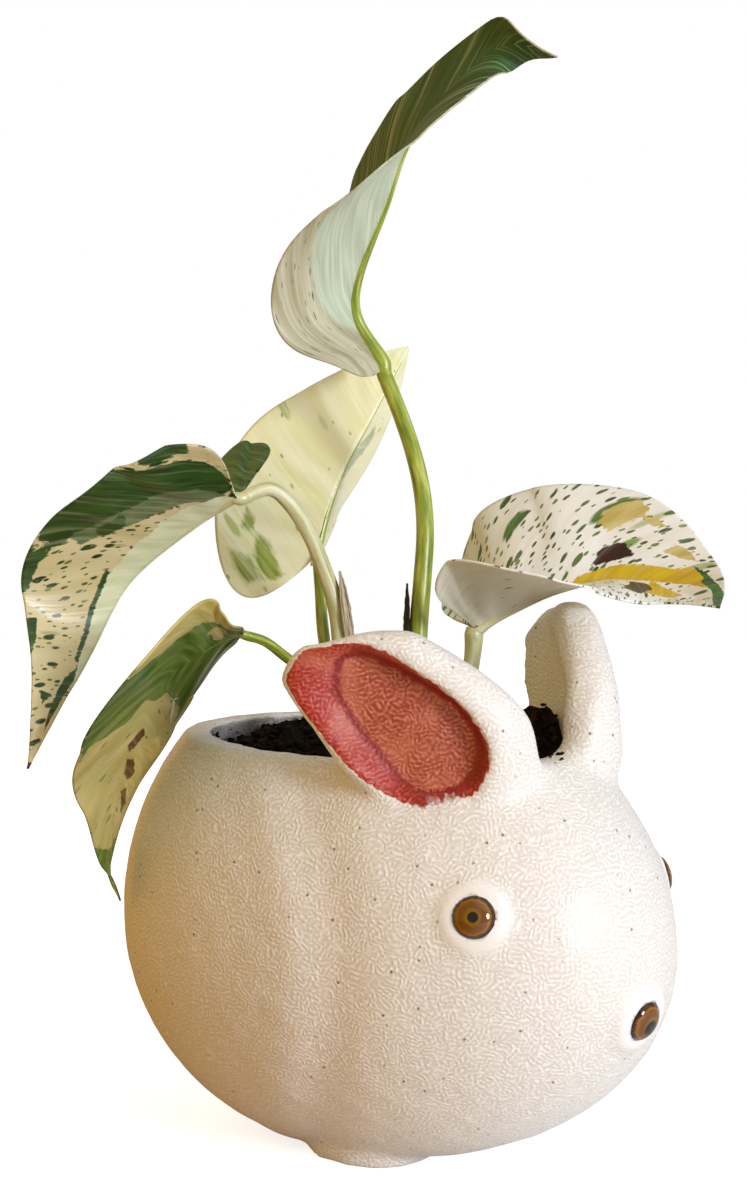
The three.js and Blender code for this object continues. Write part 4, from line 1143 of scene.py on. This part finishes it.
low_top = leaf_skin("low_leaf_top", ("#a89a55", "#c2b676"),
                    [("grey", "#48611c", "#71883a"), ("yellow", "#b8a650", "#d6c880"),
                     ("green", "#2f5417", "#4a7424"), ("brown", "#3a1a06", "#6b4214")],
                    low_flecks, (0.3, "#bcc79a"))
low_under = leaf_skin("low_leaf_underside", ("#e6e8d2", "#dadfc2"), [("green", "#6f8440", "#8d9c58")],
                      low_flecks[:1], (0.3, "#cbd4b4"), roughness=0.5, coat=0)
blade("blade_low", LOW, LOW_STALK, low_top, low_under, green_stem)

# THE RIGHT LEAF
# A cream leaf with green flecks reaches out over the rabbit's head, on a short ivory stalk from the front vine.
# A band of old yellow tissue crosses it, with two burnt spots in it, and its tip is green.

RIGHT = {"midrib": [(21, -8.9, 127.4), (27.6, -15.4, 131.4), (36.4, -23.9, 136.5), (45.7, -35.5, 139.5),
                    (49.7, -52.3, 136.4), (42, -68.5, 134.8)],
         "faces": (0, 0, 1), "roll": [-0.27, -0.03, 0.15, 0.14, -0.02],
         "fold_near": [0.47, 0.31, 0.05, -0.05], "fold_far": [0.6, 0.81, 0.85, 0.22],
         "half_width": 32.8, "lobe": 0.12, "rib": 2.3, "rib_run": 0.07,
         "patches": [("yellow", [(0.44, -0.03), (0.49, -0.09), (0.58, -0.14), (0.63, -0.2), (0.68, -0.25),
                                 (0.73, -0.35), (0.77, -0.55), (0.81, -0.62), (0.88, -0.72), (0.84, -0.35),
                                 (0.76, -0.14), (0.69, -0.04), (0.61, 0.07), (0.52, 0.02)]),
                     ("yellow", [(0.61, 0.4), (0.7, 0.38), (0.69, -0.05), (0.77, 0.03), (0.82, 0.17), (0.81, 0.4),
                                 (0.74, 0.5)]),
                     ("grey", [(0.54, -0.6), (0.55, -0.72), (0.58, -0.85), (0.6, -0.93), (0.62, -0.85), (0.6, -0.68),
                               (0.56, -0.5)]),
                     ("grey", [(0.6, -0.75), (0.64, -0.82), (0.66, -0.8), (0.64, -0.7)]),
                     ("grey", [(0.68, -0.48), (0.7, -0.68), (0.74, -0.75), (0.77, -0.7), (0.73, -0.55)]),
                     ("brown", [(0.52, -0.16), (0.54, -0.3), (0.56, -0.37), (0.59, -0.42), (0.62, -0.3), (0.6, -0.22),
                                (0.55, -0.17)]),
                     ("brown", [(0.64, 0.52), (0.64, 0.1), (0.69, 0.08), (0.72, 0.25), (0.71, 0.55)]),
                     ("green", [(0.76, -0.57), (0.8, -0.67), (0.84, -0.72), (0.89, -0.88), (0.93, -1.1), (1.05, -1.1),
                                (1.05, 1.1), (0.99, 1.0), (0.955, -0.2), (0.88, -0.52), (0.82, -0.42),
                                (0.81, -0.58)])]}
RIGHT_STALK = [(15.2, 5.2, 100.5), (16.8, 0.6, 103), (19, -4.2, 108.5), (20.5, -7.4, 115), (21, -8.5, 121),
               (21, -8.9, 127.2)]
stalk("petiole_right", RIGHT_STALK, 4, 4.2, pale_stem, flare=0.15)
right_flecks = [(9, 3.5, 0.5, 0.16, "#8b9a5c", "#c2c69c"), (10, 1.7, 0.28, 0.2, "#47702c", "#86a55a"),
                (3.2, 1.8, 0.7, 0.29, "#24451a", "#5c7a3a"), (1.7, 1.4, 0.55, 0.3, "#2b4f20", "#87995a")]
right_top = leaf_skin("right_leaf_top", ("#e9e8dd", "#f4f3ec"),
                      [("grey", "#b9a552", "#d6c684"), ("yellow", "#c29c06", "#d8bc20"),
                       ("green", "#23461a", "#3a7a1e"), ("brown", "#1d0802", "#34110a")],
                      right_flecks, (0.14, "#f4f2e6"))
right_under = leaf_skin("right_leaf_underside", ("#f8f5e0", "#eeebd2"), [],
                        [(4, 2.6, 0.35, 0.1, "#5a6a44", "#8b9672"), (9, 3, 0.12, 0.12, "#40632a", "#6b8a48")],
                        (0.3, "#cdd1bb"), roughness=0.5, coat=0)
blade("blade_right", RIGHT, RIGHT_STALK, right_top, right_under, pale_stem)

# DRY SHEATHS
# The dead remains of two leaf sheaths, thin as paper, curled round the foot of their stalks and held by their own
# grip. One has withered to black, the other is tan with black spots.

SHEATH_THICKNESS = 0.4
SHEATH_GAP = 0.65
SHEATH_CRINKLE = 0.25

# Dry papery sheath: no shine at all, with some twenty fibres side by side along it, spotted with black rot
papery, tree, skin = material("dry_papery_sheath", 0.75)
wrap = add(tree, "UVMap", uv_map="UVMap").outputs[0]
fibres = add(tree, "VectorMath", {0: wrap, 1: (1.2, 14, 1)}, operation="MULTIPLY").outputs[0]
fibre = add(tree, "TexNoise", {"Vector": fibres, "Scale": 1.6, "Detail": 3}).outputs["Fac"]
tone = tones(tree, fibre, (0.3, "#57422c"), (0.42, "#a08a66"), (0.55, "#cbbd98"), (0.75, "#e6dcc4"))
spots = add(tree, "TexVoronoi", {"Vector": fibres, "Scale": 2.2}).outputs["Distance"]
colour = blend(tree, between(tree, spots, 0.34, 0.26), tone, "#120c08")
tree.links.new(colour, skin.inputs["Base Color"])
raise_skin(tree, fibre, 0.6, 0.4)

# The same, rotted through: almost black, with a few tan fibres left
withered = recoloured(papery, "withered_black_sheath", "#0f0b08", "#1f1812", "#33281d", "#7a6a50")


def sheath(name, points, thick, start, end, looks, spread, paper):
    """A curled sheet along part of a stalk that is that thick at its two ends, open on the side it looks from."""
    bpy.ops.object.select_all(action="DESELECT")
    bpy.ops.mesh.primitive_grid_add(x_subdivisions=48, y_subdivisions=20, size=2)
    made = bpy.context.object
    made.name = f"{name}_paper"
    line, _ = even_line([Vector(p) for p in points], 400)
    for v in made.data.vertices:
        t, across = (v.co.x + 1) / 2, v.co.y
        share = start + (end - start) * t
        centre, along = line[round(share * 400)]
        front = Vector(looks)
        front = (front - along * front.dot(along)).normalized()
        beside = along.cross(front)
        angle = across * spread * max(0.02, math.sin(math.pi * (0.06 + 0.94 * t))) ** 0.5
        petiole = (thick[0] + (thick[1] - thick[0]) * share) / 2
        crinkle = SHEATH_CRINKLE * noise.noise(Vector((t * 14, across * 3, 2)))
        radius = petiole + SHEATH_GAP + 0.7 * (0.5 + 0.8 * t) + crinkle
        v.co = (centre + front * radius * math.cos(angle) + beside * radius * math.sin(angle)) * MM
    finish(made, "SOLIDIFY", thickness=SHEATH_THICKNESS * MM, offset=0)
    for face in made.data.polygons:
        face.use_smooth = True
    made.data.materials.clear()
    made.data.materials.append(paper)
    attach(made, "root")
    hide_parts(name)


sheath("sheath_tall", TALL_STALK, (5, 3.6), 0.06, 0.36, (-0.8, 0.6, 0), 0.75, withered)
sheath("sheath_arching", ARCHING_STALK, (4.8, 3.2), 0.18, 0.5, (0.65, -0.75, 0), 1.2, papery)
